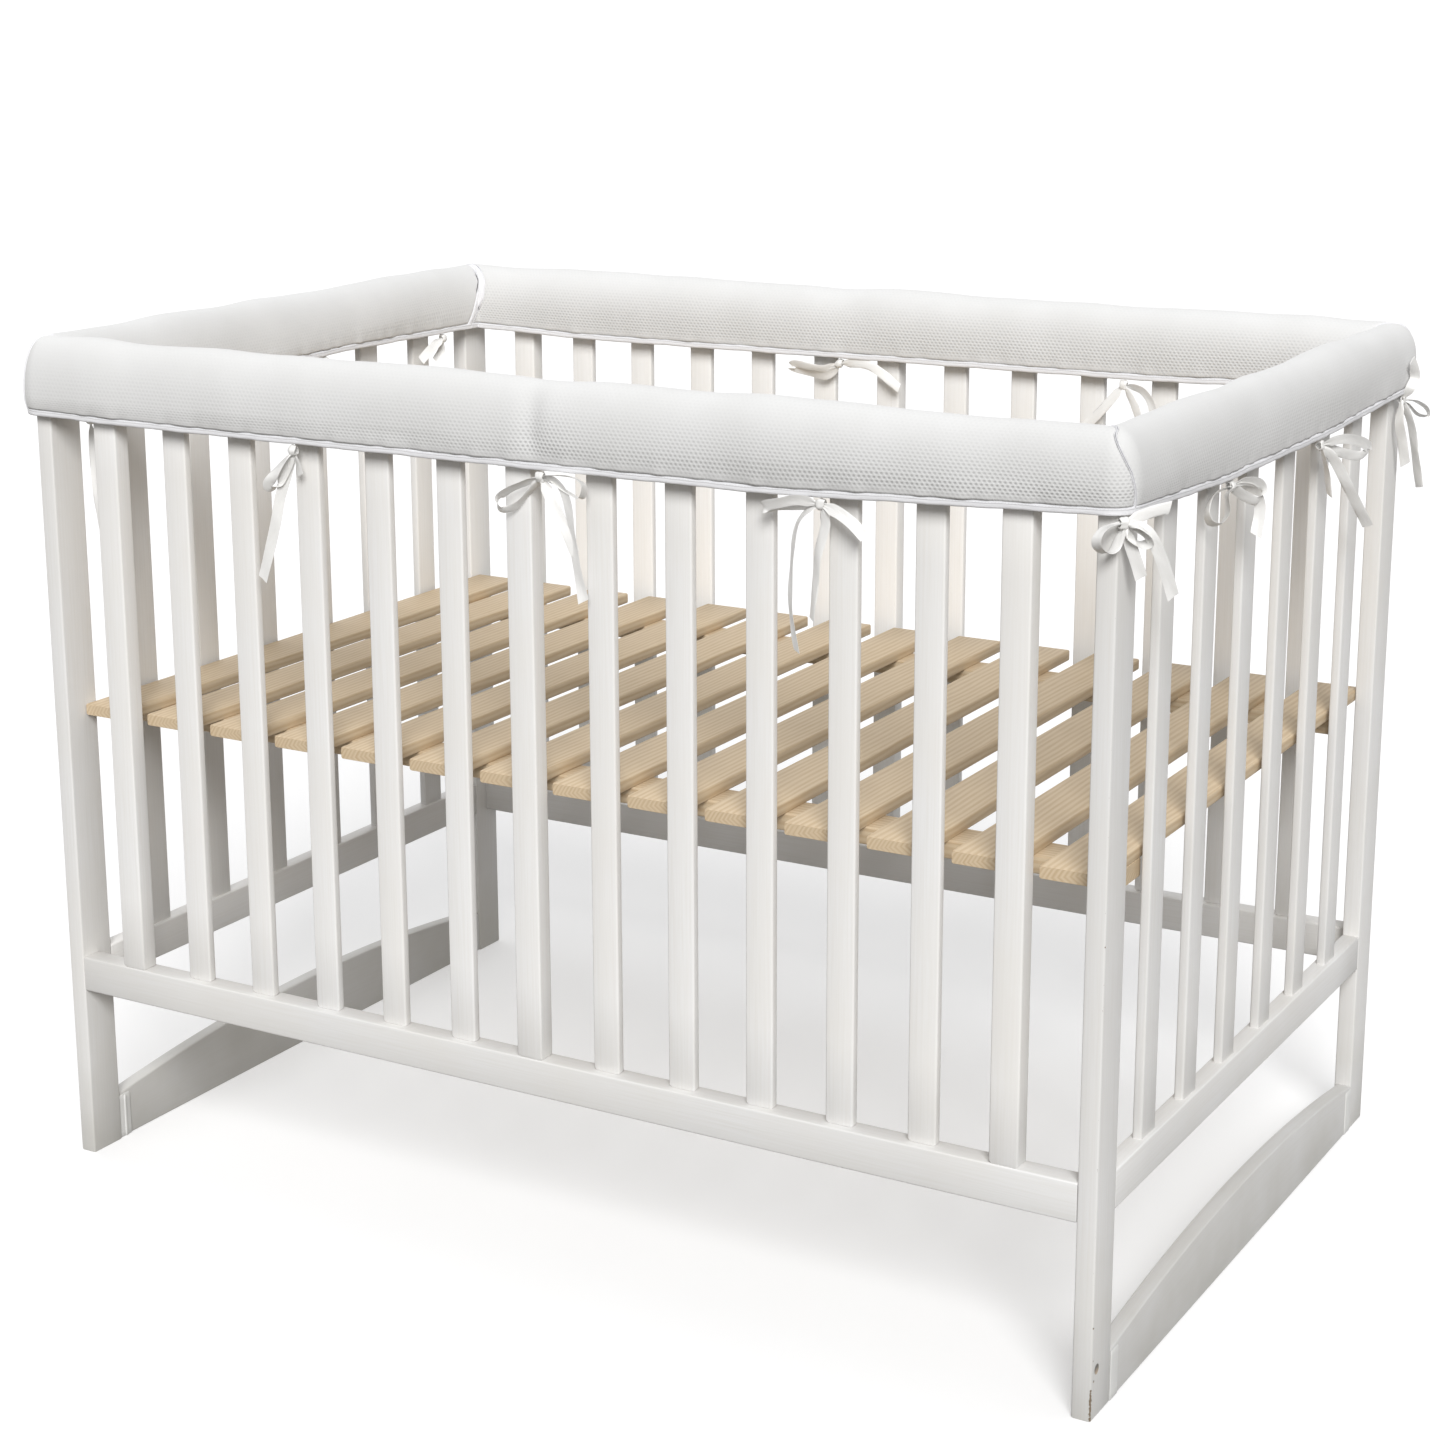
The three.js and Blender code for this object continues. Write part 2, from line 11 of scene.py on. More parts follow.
import bpy
import numpy as np
from mathutils import Euler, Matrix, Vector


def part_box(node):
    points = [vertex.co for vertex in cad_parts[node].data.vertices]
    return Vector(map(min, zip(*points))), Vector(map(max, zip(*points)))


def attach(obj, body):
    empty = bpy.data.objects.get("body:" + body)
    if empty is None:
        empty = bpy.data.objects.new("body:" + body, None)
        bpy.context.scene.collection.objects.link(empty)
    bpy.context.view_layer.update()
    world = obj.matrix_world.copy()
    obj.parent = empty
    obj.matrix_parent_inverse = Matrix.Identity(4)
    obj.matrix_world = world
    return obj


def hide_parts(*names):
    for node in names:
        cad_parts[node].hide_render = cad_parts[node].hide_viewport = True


bl_info = {
    "name": "Crib with padded rail covers",
    "version": (1, 0, 0),
    "blender": (4, 5, 0),
    "location": "3D View > Sidebar > Crib",
    "description": "Builds the covers, bindings, bows and the painted crib they fit",
    "category": "Add Mesh",
}

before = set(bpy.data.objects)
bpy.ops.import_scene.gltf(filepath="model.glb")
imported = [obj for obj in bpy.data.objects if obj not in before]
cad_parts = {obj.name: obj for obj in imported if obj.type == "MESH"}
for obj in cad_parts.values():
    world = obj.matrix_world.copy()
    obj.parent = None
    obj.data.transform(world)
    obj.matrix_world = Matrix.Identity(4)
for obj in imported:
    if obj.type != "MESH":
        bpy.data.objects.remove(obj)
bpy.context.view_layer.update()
MM = 0.001
BODY = "root"


# Sizes taken from the frame


def box_of(node):
    """A node's lowest and highest corner as two arrays."""
    low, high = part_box(node)
    return np.array(low), np.array(high)


POST_LOW, _ = box_of("post_front_left")
_, FAR_HIGH = box_of("post_back_right")
CRIB_MIDDLE = (POST_LOW + FAR_HIGH) / 2
CRIB_LENGTH, CRIB_WIDTH = (FAR_HIGH - POST_LOW)[:2]
RAIL_LOW, RAIL_HIGH = box_of("rail_top_front")
END_LOW, END_HIGH = box_of("end_frame_right")
SIDE_DEPTH = RAIL_HIGH[1] - RAIL_LOW[1]
END_DEPTH = END_HIGH[0] - END_LOW[0]
FRONT_LINE = (CRIB_WIDTH - SIDE_DEPTH) / 2
END_LINE = (CRIB_LENGTH - END_DEPTH) / 2

LONG = {"offset": FRONT_LINE, "half": END_LINE, "rail": SIDE_DEPTH / 2, "steps": 420}
SHORT = {"offset": END_LINE, "half": FRONT_LINE, "rail": END_DEPTH / 2, "steps": 300}
SIDES = {
    "front": {"turn": 0, **LONG},
    "right": {"turn": 90, **SHORT},
    "back": {"turn": 180, **LONG},
    "left": {"turn": 270, **SHORT},
}


# Tables of the covers' form, in millimetres. at runs from -1 to 1 along a cover.

HEMS = {
    "front": {"at": (-1, -0.8, 0.45, 1), "z": (856, 854, 854, 867)},
    "right": {"at": (-1, -0.45, 0.25, 1), "z": (867, 858, 857, 866)},
    "back": {"at": (-1, -0.6, 0.7, 1), "z": (866, 858, 856, 861)},
    "left": {"at": (-1, -0.3, 0.6, 1), "z": (861, 864, 860, 856)},
}

# Height of the widest line at the two ends of each cover
WAISTS = {
    "front": (876, 892),
    "right": (892, 900),
    "back": (900, 896),
    "left": (896, 876),
}

# Soft dents: place along the cover, share of the way across it from the outer
# hem, depth, and how far the dent reaches along and across
DENTS = {
    "front": (
        (23, 0.24, 4.8, 13, 0.17),
        (58, 0.18, -2.0, 30, 0.16),
        (-330, 0.30, -2.0, 90, 0.20),
        (-150, 0.16, 1.4, 60, 0.10),
        (300, 0.30, -2.0, 110, 0.20),
        (520, 0.25, 2.2, 40, 0.16),
        (-480, 0.44, 1.6, 60, 0.10),
    ),
    "right": (
        (-90, 0.30, 2.0, 40, 0.16),
        (150, 0.30, -2.0, 80, 0.20),
        (300, 0.18, 1.4, 30, 0.12),
    ),
    "back": (
        (-210, 0.72, 2.0, 50, 0.16),
        (330, 0.70, -2.0, 120, 0.20),
        (40, 0.70, 1.4, 34, 0.14),
    ),
    "left": (
        (60, 0.70, 2.0, 50, 0.16),
        (-170, 0.70, -2.0, 80, 0.20),
    ),
}

# Widths of the bindings round a cover's two ends, left and right seen from outside
END_BINDINGS = {"front": (1.6, 1.0), "right": (1.0, 5.0), "back": (1.0, 1.0), "left": (9.0, 1.6)}

# How far each cover's mesh is stretched open: its dimples show less where less
OPENNESS = {"front": 1.0, "right": 0.32, "back": 0.8, "left": 0.32}

# Where a post's foot is damaged: place from its outer front corner on the floor
# and radius of a screw hole and of the nicks, in millimetres
SCREW_HOLE = (0.0, 12.0, 50.0, 5.2)
NICKS = ((0.0, 5.5, 40.0, 1.3), (0.0, 1.5, 96.0, 1.0), (0.0, 3.0, 62.0, 0.7))

# The bows, by node, side, place along the rail and the way they face. A bow's own
# frame has x to the right as seen from its front, y to its back and z up. Each
# strip is the points of its line, in millimetres from the knot's middle, and the
# directions of its width, spread evenly along the line.
BOW_LINE, KNOT_DROP = 20, 6.7
BOWS = {
    ("tie_front_left", "front", -269, "outer"): (
        (((0, 0, 0), (-10, -5, -12), (-19, -8, -25), (-29, -7, -37), (-28, -3, -42),
          (-21, 1, -37), (-13, 2, -24), (-4, 1, -8)), ((0.8, 0, 0.6),)),
        (((-1, 0, -1), (-11, 3, -24), (-21, 2, -51), (-27, 1, -77), (-38, 2, -110),
          (-49, 3, -140)), ((-0.8, -0.4, 0.3), (-0.8, -0.6, 0.3), (-0.8, -0.6, 0.2),
          (-0.9, -0.3, 0.3), (-0.9, -0.1, 0.3))),
        (((0, 1, 0), (2, 3, -13), (5, 3, -26)), ((-0.9, 0.5, -0.1), (-0.9, 0.3, -0.2))),
    ),
    ("tie_front_middle", "front", 32, "outer"): (
        (((-1, 0, 0), (-16, -6, -7), (-31, -10, -14), (-43, -10, -24), (-42, -7, -35),
          (-29, -1, -32), (-15, 3, -17), (-4, 2, -5)), ((0.4, -0.6, 0.7),)),
        (((1, 0, 0), (23, -5, 4), (42, -8, 4), (53, -7, -3), (47, -3, -16), (30, 1, -12),
          (11, 2, -3)), ((0.1, -1, 0.2),)),
        (((1, 0, -1), (10, 1, -19), (21, 0, -37), (30, 0, -53), (38, 1, -72)),
          ((-0.7, -0.6, -0.4), (-0.8, -0.4, -0.4), (-0.9, -0.2, -0.4))),
        (((2, 0, 0), (21, -3, -3), (31, -3, -17), (35, -1, -41), (39, 0, -75), (46, 2, -119)),
          ((0, 0.6, -0.8), (-0.9, 0.2, -0.4), (-0.9, 0.4, -0.1), (-1, 0.3, -0.1),
          (-1, -0.3, -0.2))),
    ),
    ("tie_front_right", "front", 338, "outer"): (
        (((-1, 0, 0), (-20, -6, 3), (-39, -8, -1), (-53, -6, -5), (-57, -2, -9), (-45, 2, -6),
          (-24, 2, -4), (-5, 1, -2)), ((0, -0.4, 0.9),)),
        (((0, 0, 0), (21, -4, -6), (35, -5, -14), (46, -3, -25)), ((-0.3, -0.2, -0.9),
          (-0.5, -0.4, -0.8), (-0.5, -0.6, -0.6))),
        (((-1, 0, -1), (-15, 0, -9), (-25, 0, -24), (-29, 0, -52), (-31, 0, -90), (-29, 1, -119),
          (-25, 2, -142)), ((-0.3, 0.8, 0.5), (-0.6, 0.7, 0.2), (-0.7, 0.7, 0), (-0.8, 0.7, 0),
          (-0.8, 0.6, -0.1))),
        (((0, 0, -1), (4, 1, -17), (1, 1, -31), (-4, 1, -50), (-7, 2, -79), (-11, 3, -110)),
          ((-1, 0, -0.2), (-0.9, 0.3, 0.2), (-0.8, 0.5, 0.1), (-0.8, 0.6, 0.1))),
    ),
    ("tie_corner_left_inner", "front", -578, "inner"): (
        (((0, 0, -1), (-2, 0, -29), (-4, 0, -62), (-7, 1, -95), (-12, 2, -138)),
          ((0.9, -0.4, -0.1), (0.9, 0.3, -0.1), (0.8, 0.6, 0), (1, 0.1, -0.1),
          (0.8, -0.5, -0.1))),
    ),
    ("tie_corner_front_right", "front", 631.2, "corner"): (
        (((0, 0, 0), (18, -3, 7), (29, -4, 10), (41, -4, 12)), ((0.1, 0, 1), (0.1, -0.1, 1))),
        (((-1, 0, 0), (-19, -6, -2), (-28, -10, -9), (-27, -8, -18), (-17, -3, -25), (-8, 1, -23),
          (-3, 2, -13), (0, 1, -4)), ((0.4, -0.9, 0.1),)),
        (((1, 0, 0), (9, -9, -1), (19, -11, -9), (22, -7, -17), (15, -2, -20), (2, 0, -13),
          (1, 1, -5)), ((0.2, -0.9, -0.4),)),
        (((0, 0, -1), (8, 1, -22), (13, 1, -35), (18, 1, -50)), ((-0.6, 0.7, -0.2),
          (-0.8, 0.5, -0.3), (-0.9, 0.3, -0.3))),
        (((1, -1, 0), (18, -6, -7), (29, -6, -23), (39, -4, -45), (47, -3, -68)),
          ((-0.4, -0.4, -0.8), (-0.8, 0.2, -0.5), (-0.8, 0.5, -0.3), (-0.9, 0.3, -0.3))),
    ),
    ("tie_right_front", "right", -159, "outer"): (
        (((-2, 0, 0), (-28, 6, -4), (-40, 8, -18), (-39, 5, -29), (-28, -1, -32), (-25, -7, -21),
          (-24, -6, -6), (-5, -1, -3)), ((-0.6, -0.6, 0.5),)),
        (((1, 0, 0), (15, -9, 3), (32, -15, -1), (42, -16, -11), (40, -12, -20), (23, -5, -13),
          (11, 0, -5)), ((-0.5, -0.3, 0.8),)),
        (((2, 0, 0), (30, -9, -6), (47, -13, -26), (42, -12, -54)), ((0, 0.6, -0.8),
          (-0.1, 0.9, -0.3), (-0.3, 0.9, 0.1))),
    ),
    ("tie_right_back", "right", 101, "outer"): (
        (((-1, -1, 1), (21, -18, 5), (53, -28, -3), (69, -29, -13), (55, -23, -18),
          (26, -11, -10), (13, 0, -4)), ((-0.1, -0.3, 0.9),)),
        (((1, 0, -1), (17, -10, -17), (43, -19, -50), (93, -26, -98)), ((-0.1, 0.8, -0.6),
          (-0.3, 0.8, -0.5), (-0.3, 0.8, -0.5))),
        (((2, 0, -1), (20, -1, -28), (28, -3, -56)), ((0.6, 0.7, 0.4), (0.6, 0.8, 0.1))),
    ),
    ("tie_corner_back_right", "right", 380, "outer"): (
        (((-2, -1, 1), (-6, -10, 14), (3, -12, 25), (-15, -13, 46)), ((0.6, -0.7, -0.3),
          (0.4, -0.9, -0.2), (0.7, -0.3, 0.6))),
        (((1, 0, 0), (12, -12, -2), (25, -20, -11), (31, -20, -21), (19, -12, -18), (9, -2, -4)),
          ((-0.8, -0.5, 0.3),)),
        (((-3, 0, 0), (-10, -1, -23), (-1, -3, -46), (9, -5, -74)), ((0.5, 0.8, -0.2),
          (0, 1, -0.1), (-0.3, 0.9, -0.2))),
        (((2, 0, -1), (13, -8, -31), (28, -10, -67), (44, -12, -104)), ((0.3, 0.9, -0.1),
          (0.4, 0.9, 0.1), (0.3, 0.9, 0.1))),
    ),
    ("tie_back_left", "back", 60, "inner"): (
        (((-1, 0, 0), (-17, -6, -7), (-34, -8, -6), (-58, -6, -4), (-63, -2, -9), (-42, 1, -14),
          (-19, 0, -16), (-4, 0, -6)), ((0.1, -0.5, 0.9),)),
        (((1, 0, 0), (36, -3, 2), (57, -4, -6), (83, -3, -24)), ((0.1, 0.4, -0.9),
          (-0.4, -0.2, -0.9), (-0.5, -0.4, -0.8))),
    ),
    ("tie_back_right", "back", -310, "inner"): (
        (((-1, 0, 0), (-11, -3, -14), (-28, -4, -34), (-54, -3, -60)), ((-0.8, 0.3, 0.5),
          (-0.7, 0.1, 0.7), (-0.7, -0.1, 0.7))),
        (((0, 0, -1), (12, -3, -16), (22, -5, -38), (31, -5, -56), (39, -2, -52), (35, 1, -23),
          (23, 2, -6), (5, 1, 0)), ((0.9, -0.3, 0.3),)),
    ),
    ("tie_left", "left", -56, "inner"): (
        (((-1, 0, 0), (-19, -4, -5), (-34, -6, -12), (-46, -6, -25)), ((-0.3, 0.8, 0.5),
          (-0.4, 0.7, 0.6), (-0.5, 0.7, 0.5))),
        (((1, 0, -1), (5, -2, -11), (8, -2, -23), (12, -1, -36)), ((0.3, 0.9, -0.1), (0.2, 1, 0),
          (0, 1, 0.1))),
        (((1, 0, -1), (11, -3, -7), (19, -4, -19), (26, -3, -35)), ((0, 0.9, -0.4),
          (-0.1, 1, -0.1), (-0.2, 1, 0))),
    ),
    ("tie_corner_back_left", "left", -300, "inner"): (
        (((-1, 0, 0), (-29, -3, -9), (-53, -3, -22)), ((-0.2, 0.8, 0.5), (-0.3, 0.6, 0.7),
          (-0.3, 0.6, 0.7))),
        (((1, 0, -1), (-2, 1, -15), (-15, 1, -28)), ((0.3, 1, 0), (-0.4, 0.8, 0.4))),
    ),
    ("tie_corner_left_outer", "left", 372, "outer"): (
        (((0, 0, 0), (4, 0, -14), (8, -1, -30), (10, -2, -47)), ((-0.3, -1, -0.1), (-0.3, -1, 0),
          (0.3, -1, 0.1))),
    ),
}


def turned(points, angle):
    """Points turned about the upright axis by an angle in radians."""
    c, s = math.cos(angle), math.sin(angle)
    x, y, z = np.moveaxis(points, -1, 0)
    return np.stack([c * x - s * y, s * x + c * y, z], axis=-1)


def to_world(side, points):
    """Turns points of a side's own frame about the upright axis and moves them
    to the side's rail."""
    from_middle = turned(points - (0, side["offset"], 0), math.radians(side["turn"]))
    return from_middle + (*CRIB_MIDDLE[:2], 0)


# Surfaces and meshes


def grid(points, uv, wrap=False, flip=False):
    """A grid of points (rows, columns, 3) as a surface: its vertices, its
    four-sided faces and the uv of each face corner. With wrap the last column is
    joined to the first, and uv then has one column more than points."""
    rows, columns = points.shape[:2]
    across = columns if wrap else columns - 1
    i, j = np.meshgrid(np.arange(rows - 1), np.arange(across), indexing="ij")
    corner_rows = np.stack([i, i, i + 1, i + 1], axis=-1).reshape(-1, 4)
    corner_columns = np.stack([j, j + 1, j + 1, j], axis=-1).reshape(-1, 4)
    if flip:
        corner_rows, corner_columns = corner_rows[:, ::-1], corner_columns[:, ::-1]
    faces = corner_rows * columns + corner_columns % columns
    return points.reshape(-1, 3), faces, uv[corner_rows, corner_columns]


def capped(points, uv, flip=False):
    """A wrapped grid with a flat cap at each end."""
    count = points.shape[1]
    ring = np.arange(count)
    last = ring + (len(points) - 1) * count
    ends = [(ring[::-1], uv[0, :count][::-1]), (last, uv[-1, :count])]
    if flip:
        ends = [(i[::-1], u[::-1]) for i, u in ends]
    return grid(points, uv, wrap=True, flip=flip), ends


def mesh_piece(name, node, parts, material, crease=None):
    """Joins parts into one object that stands for a CAD node. A part is a surface
    and its caps, which are many-sided faces, each the indices of its vertices and
    a uv for each. Over the angle of crease, in degrees, an edge stays sharp."""
    starts = np.cumsum([0] + [len(surface[0]) for surface, _ in parts])
    vertices, loops, counts, uvs = [], [], [], []
    for start, ((points, faces, uv), _) in zip(starts, parts):
        vertices.append(points)
        loops.append((faces + start).ravel())
        counts.append(np.full(len(faces), faces.shape[1]))
        uvs.append(uv.reshape(-1, 2))
    for start, (_, caps) in zip(starts, parts):
        for indices, uv in caps:
            loops.append(indices + start)
            counts.append([len(indices)])
            uvs.append(uv)
    vertices, loops, counts, uvs = map(np.concatenate, (vertices, loops, counts, uvs))
    mesh = bpy.data.meshes.new(name)
    mesh.vertices.add(len(vertices))
    mesh.vertices.foreach_set("co", vertices.astype(np.float32).ravel())
    mesh.loops.add(len(loops))
    mesh.loops.foreach_set("vertex_index", loops.astype(np.int32))
    mesh.polygons.add(len(counts))
    first_loops = np.cumsum(counts) - counts
    mesh.polygons.foreach_set("loop_start", first_loops.astype(np.int32))
    mesh.update(calc_edges=True)
    layer = mesh.uv_layers.new(name="Surface")
    layer.data.foreach_set("uv", uvs.astype(np.float32).ravel())
    mesh.shade_smooth()
    if crease is not None:
        mesh.set_sharp_from_angle(angle=math.radians(crease))
    mesh.materials.append(material)
    mesh.validate()
    piece = bpy.data.objects.new(name, mesh)
    bpy.context.scene.collection.objects.link(piece)
    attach(piece, BODY)
    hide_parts(node)
    return piece


# Materials


class Shading:
    """A new material and short ways to add and join its nodes."""

    def __init__(self, name, colour, roughness):
        self.material = bpy.data.materials.new(name)
        self.material.use_nodes = True
        self.nodes = self.material.node_tree.nodes
        self.links = self.material.node_tree.links
        self.shader = self.nodes["Principled BSDF"]
        self.shader.inputs["Base Color"].default_value = (*colour, 1)
        self.shader.inputs["Roughness"].default_value = roughness

    def join(self, value, socket):
        """Sets a socket to a number, a colour or another node's output."""
        if isinstance(value, bpy.types.NodeSocket):
            self.links.new(value, socket)
        elif socket.type == "RGBA":
            socket.default_value = (*value, 1)
        else:
            socket.default_value = value

    def node(self, kind, output, values, **settings):
        """Adds a node, sets its settings, gives values to its sockets by their
        names or numbers and returns an output."""
        node = self.nodes.new(kind)
        for name, value in settings.items():
            setattr(node, name, value)
        for key, value in values.items():
            self.join(value, node.inputs[key])
        return node.outputs[output]

    def math(self, operation, *values):
        """One step of arithmetic."""
        return self.node("ShaderNodeMath", 0, dict(enumerate(values)), operation=operation)

    def times(self, first, second):
        """A product."""
        return self.math("MULTIPLY", first, second)

    def vector(self, operation, *values, output=0):
        """One step of vector arithmetic."""
        values = dict(enumerate(values))
        return self.node("ShaderNodeVectorMath", output, values, operation=operation)

    def scaled(self, vector, scale):
        """A vector stretched by a scale for each axis."""
        return self.vector("MULTIPLY", vector, scale)

    def length(self, vector):
        """A vector's length."""
        return self.vector("LENGTH", vector, output="Value")

    def axis(self, vector, name):
        """One coordinate of a vector."""
        return self.node("ShaderNodeSeparateXYZ", name, {0: vector})

    def uv(self):
        """The piece's own uv, in metres along the surface."""
        return self.node("ShaderNodeTexCoord", "UV", {})

    def place(self):
        """The point's place in the crib, in metres."""
        return self.node("ShaderNodeTexCoord", "Object", {})

    def noise(self, vector, scale, detail, roughness=0.5):
        """Fractal noise from 0 to 1."""
        values = {"Vector": vector, "Scale": scale, "Detail": detail, "Roughness": roughness}
        return self.node("ShaderNodeTexNoise", "Fac", values)

    def streaks(self, along, across, detail, roughness=0.5):
        """Noise on the uv with so many waves a metre along and across."""
        return self.noise(self.scaled(self.uv(), (along, across, 1)), 1.0, detail, roughness)

    def ramp(self, value, low, high, start=0.0, end=1.0):
        """A value mapped from low and high to start and end, and clamped."""
        values = dict(enumerate((value, low, high, start, end)))
        return self.node("ShaderNodeMapRange", 0, values)

    def mix(self, share, first, second):
        """Two colours mixed by a share."""
        return self.node("ShaderNodeMix", 2, {0: share, 6: first, 7: second}, data_type="RGBA")

    def bump(self, height, distance, strength=0.8):
        """A bump from a height of 0 to 1 that is worth a distance in metres."""
        values = {"Height": height, "Distance": distance, "Strength": strength}
        return self.node("ShaderNodeBump", 0, values)

    def finish(self, **inputs):
        """Joins values to the shader's sockets and returns the material."""
        for name, value in inputs.items():
            self.join(value, self.shader.inputs[name.replace("_", " ")])
        return self.material


def tinted(colour, *factors):
    """A colour times one factor for each channel, or one for all of them."""
    return tuple(c * f for c, f in zip(colour, factors if len(factors) == 3 else factors * 3))


# Height up to which the paint is darker towards the floor
DARKER_LOW_HEIGHT = 0.20


def painted_wood(sizes, painted_light_and_shade=1.0, worn=None):
    """White paint on close-grained wood: fine lengthwise grain that shows
    through, faint brush marks, and paint that grows darker towards the floor.
    The paint is scaled by a factor for each group of parts, which is painted
    light and shade: the slats brighter, the posts, rails, end frames and foot
    boards darker. worn is the outer corner of a damaged foot, with chips along
    its edge, and a screw hole and nicks painted dark with painted shade."""
    white = tinted(sizes.paint, painted_light_and_shade)
    paint = Shading("white_paint_on_wood", white, 0.45)
    place = paint.place()
    grain, fibres = paint.streaks(9, 420, 4.0, 0.6), paint.streaks(40, 1800, 2.0)
    clouds = paint.noise(place, 7.0, 3.0, 0.6)
    low = paint.ramp(paint.axis(place, "Z"), 0.0, DARKER_LOW_HEIGHT, 0.8, 0.0)
    darker_low = paint.times(low, paint.ramp(clouds, 0.2, 0.7))
    colour = white
    for share, *factors in (
        (paint.ramp(grain, 0.42, 0.72, 0.0, 0.5), 0.90, 0.885, 0.85),
        (paint.ramp(clouds, 0.35, 0.75, 0.0, 0.6), 0.97, 0.95, 0.91),
        (darker_low, 0.80, 0.79, 0.74),
    ):
        colour = paint.mix(share, colour, tinted(white, *factors))
    height = paint.math("ADD", paint.times(grain, 0.7), paint.times(fibres, 0.3))
    if worn is not None:
        offset = paint.vector("SUBTRACT", place, worn)
        colour, height = damage(paint, sizes, offset, colour, height)
    gloss = paint.ramp(clouds, 0.3, 0.8, 0.38, 0.55)
    return paint.finish(Base_Color=colour, Roughness=gloss, Normal=paint.bump(height, 0.00022))


def damage(paint, sizes, offset, colour, height):
    """Chips on a foot's outer edge, a screw hole and nicks, placed by the offset
    from the foot's outer corner. A chip is where noise passes a limit that falls
    near the edge and near the floor. The screw hole and the nicks are painted
    dark as painted shade, darkest under their upper rim and lighter at their
    lower side as painted light."""
    ragged = paint.noise(offset, 260.0, 4.0, 0.7)
    to_edge = paint.length(paint.scaled(offset, (1.0, 1.0, 0.0)))
    low = paint.ramp(paint.axis(offset, "Z"), 0.024, 0.042, 1.0, 0.5)
    near = paint.times(paint.ramp(to_edge, 0.0010, 0.0040, 1.0, 0.0), low)
    limit = paint.math("SUBTRACT", 0.98, paint.times(near, 0.60))
    chips = paint.math("GREATER_THAN", ragged, limit)
    colour = paint.mix(chips, colour, tinted(sizes.chip, 0.6))
    height = paint.math("SUBTRACT", height, paint.times(chips, 2.0))
    for hollow in (SCREW_HOLE, *NICKS):
        *centre, radius = (v * MM for v in hollow)
        apart = paint.vector("SUBTRACT", offset, tuple(centre))
        distance = paint.math("MULTIPLY_ADD", ragged, 0.25 * radius, paint.length(apart))
        inside = paint.ramp(distance, radius, 1.2 * radius, 1.0, 0.0)
        # Painted shade in the hollow: darkest at its top, lighter at its bottom as painted light
        shade_towards_top = paint.ramp(paint.axis(apart, "Z"), -radius, 0.4 * radius)
        hole_light_and_shade = paint.mix(shade_towards_top, tinted(sizes.chip, 1.5), tinted(sizes.chip, 0.16))
        colour = paint.mix(inside, colour, hole_light_and_shade)
        height = paint.math("SUBTRACT", height, paint.times(inside, 6.0))
    return colour, height


def bare_wood(sizes):
    """Pale sanded wood with long dark growth lines and fine pores."""
    wood = Shading("bare_pale_wood", sizes.bare, 0.6)
    across = wood.math("MULTIPLY_ADD", wood.streaks(3, 12, 2.0), 0.02, wood.axis(wood.uv(), "Y"))
    rings = wood.math("SINE", wood.times(across, 900.0))
    pores = wood.streaks(22, 480, 4.0, 0.6)
    lines = wood.math("MULTIPLY_ADD", pores, 0.9, wood.times(rings, 0.25))
    dark = tinted(sizes.bare, 0.72, 0.62, 0.50)
    colour = wood.mix(wood.ramp(lines, 0.2, 0.9, 0.0, 0.7), sizes.bare, dark)
    return wood.finish(Base_Color=colour, Normal=wood.bump(pores, 0.0003, 0.4))


def dimples(shading, pitch, rows):
    """1 in the middle of each dimple of a honeycomb and 0 between them. The
    lattice is two upright grids of pitch by twice the rows' distance, one
    shifted by half a step each way."""
    near = []
    for shift in (0.0, 0.5):
        step = shading.scaled(shading.uv(), (1 / pitch, 0.5 / rows, 1.0))
        step = shading.vector("ADD", step, (shift, shift, 0.0))
        step = shading.vector("FRACTION", step)
        step = shading.vector("SUBTRACT", step, (0.5, 0.5, 0.0))
        near.append(shading.length(shading.scaled(step, (0.85 * pitch, 2 * rows, 0.0))))
    nearest = shading.math("MINIMUM", *near)
    return shading.ramp(nearest, 0.12 * pitch, 0.34 * pitch, 1.0, 0.0)


def mesh_cloth(sizes):
    """Thick knitted mesh: a honeycomb of dimples between raised threads, with
    fine stitches on the threads and a soft nap. The dimples show as far as the
    number slack of the mesh says, as hollows and as painted shade that darkens
    them."""
    cloth = Shading("honeycomb_mesh_cloth", sizes.cloth, 0.95)
    slack = cloth.node("ShaderNodeAttribute", "Fac", {}, attribute_name="slack")
    dimples_and_shade = cloth.times(dimples(cloth, sizes.dimple_pitch, sizes.dimple_rows), slack)
    clouds = cloth.ramp(cloth.noise(cloth.place(), 14.0, 3.0, 0.6), 0.35, 0.7)
    colour = cloth.mix(clouds, sizes.cloth, tinted(sizes.cloth, 0.965, 0.965, 0.96))
    # Painted shade: the dimples are darkened as shade in their hollows
    colour = cloth.mix(cloth.times(dimples_and_shade, 0.56), colour, tinted(sizes.cloth, 0.55, 0.55, 0.555))
    stitches = cloth.streaks(1500, 2600, 2.0)
    height = cloth.math("MULTIPLY_ADD", stitches, 0.18, cloth.times(dimples_and_shade, -1.0))
    cloth.shader.inputs["Sheen Weight"].default_value = 0.25
    cloth.shader.inputs["Sheen Roughness"].default_value = 0.6
    return cloth.finish(Base_Color=colour, Normal=cloth.bump(height, 0.0006))


# Height of the seam's stitches over a binding's edge, length of a stitch with
# its gap, and distance between the tape's threads
STITCH_LINE, STITCH_PITCH, THREAD_PITCH = 5.7 * MM, 3.2 * MM, 0.9 * MM


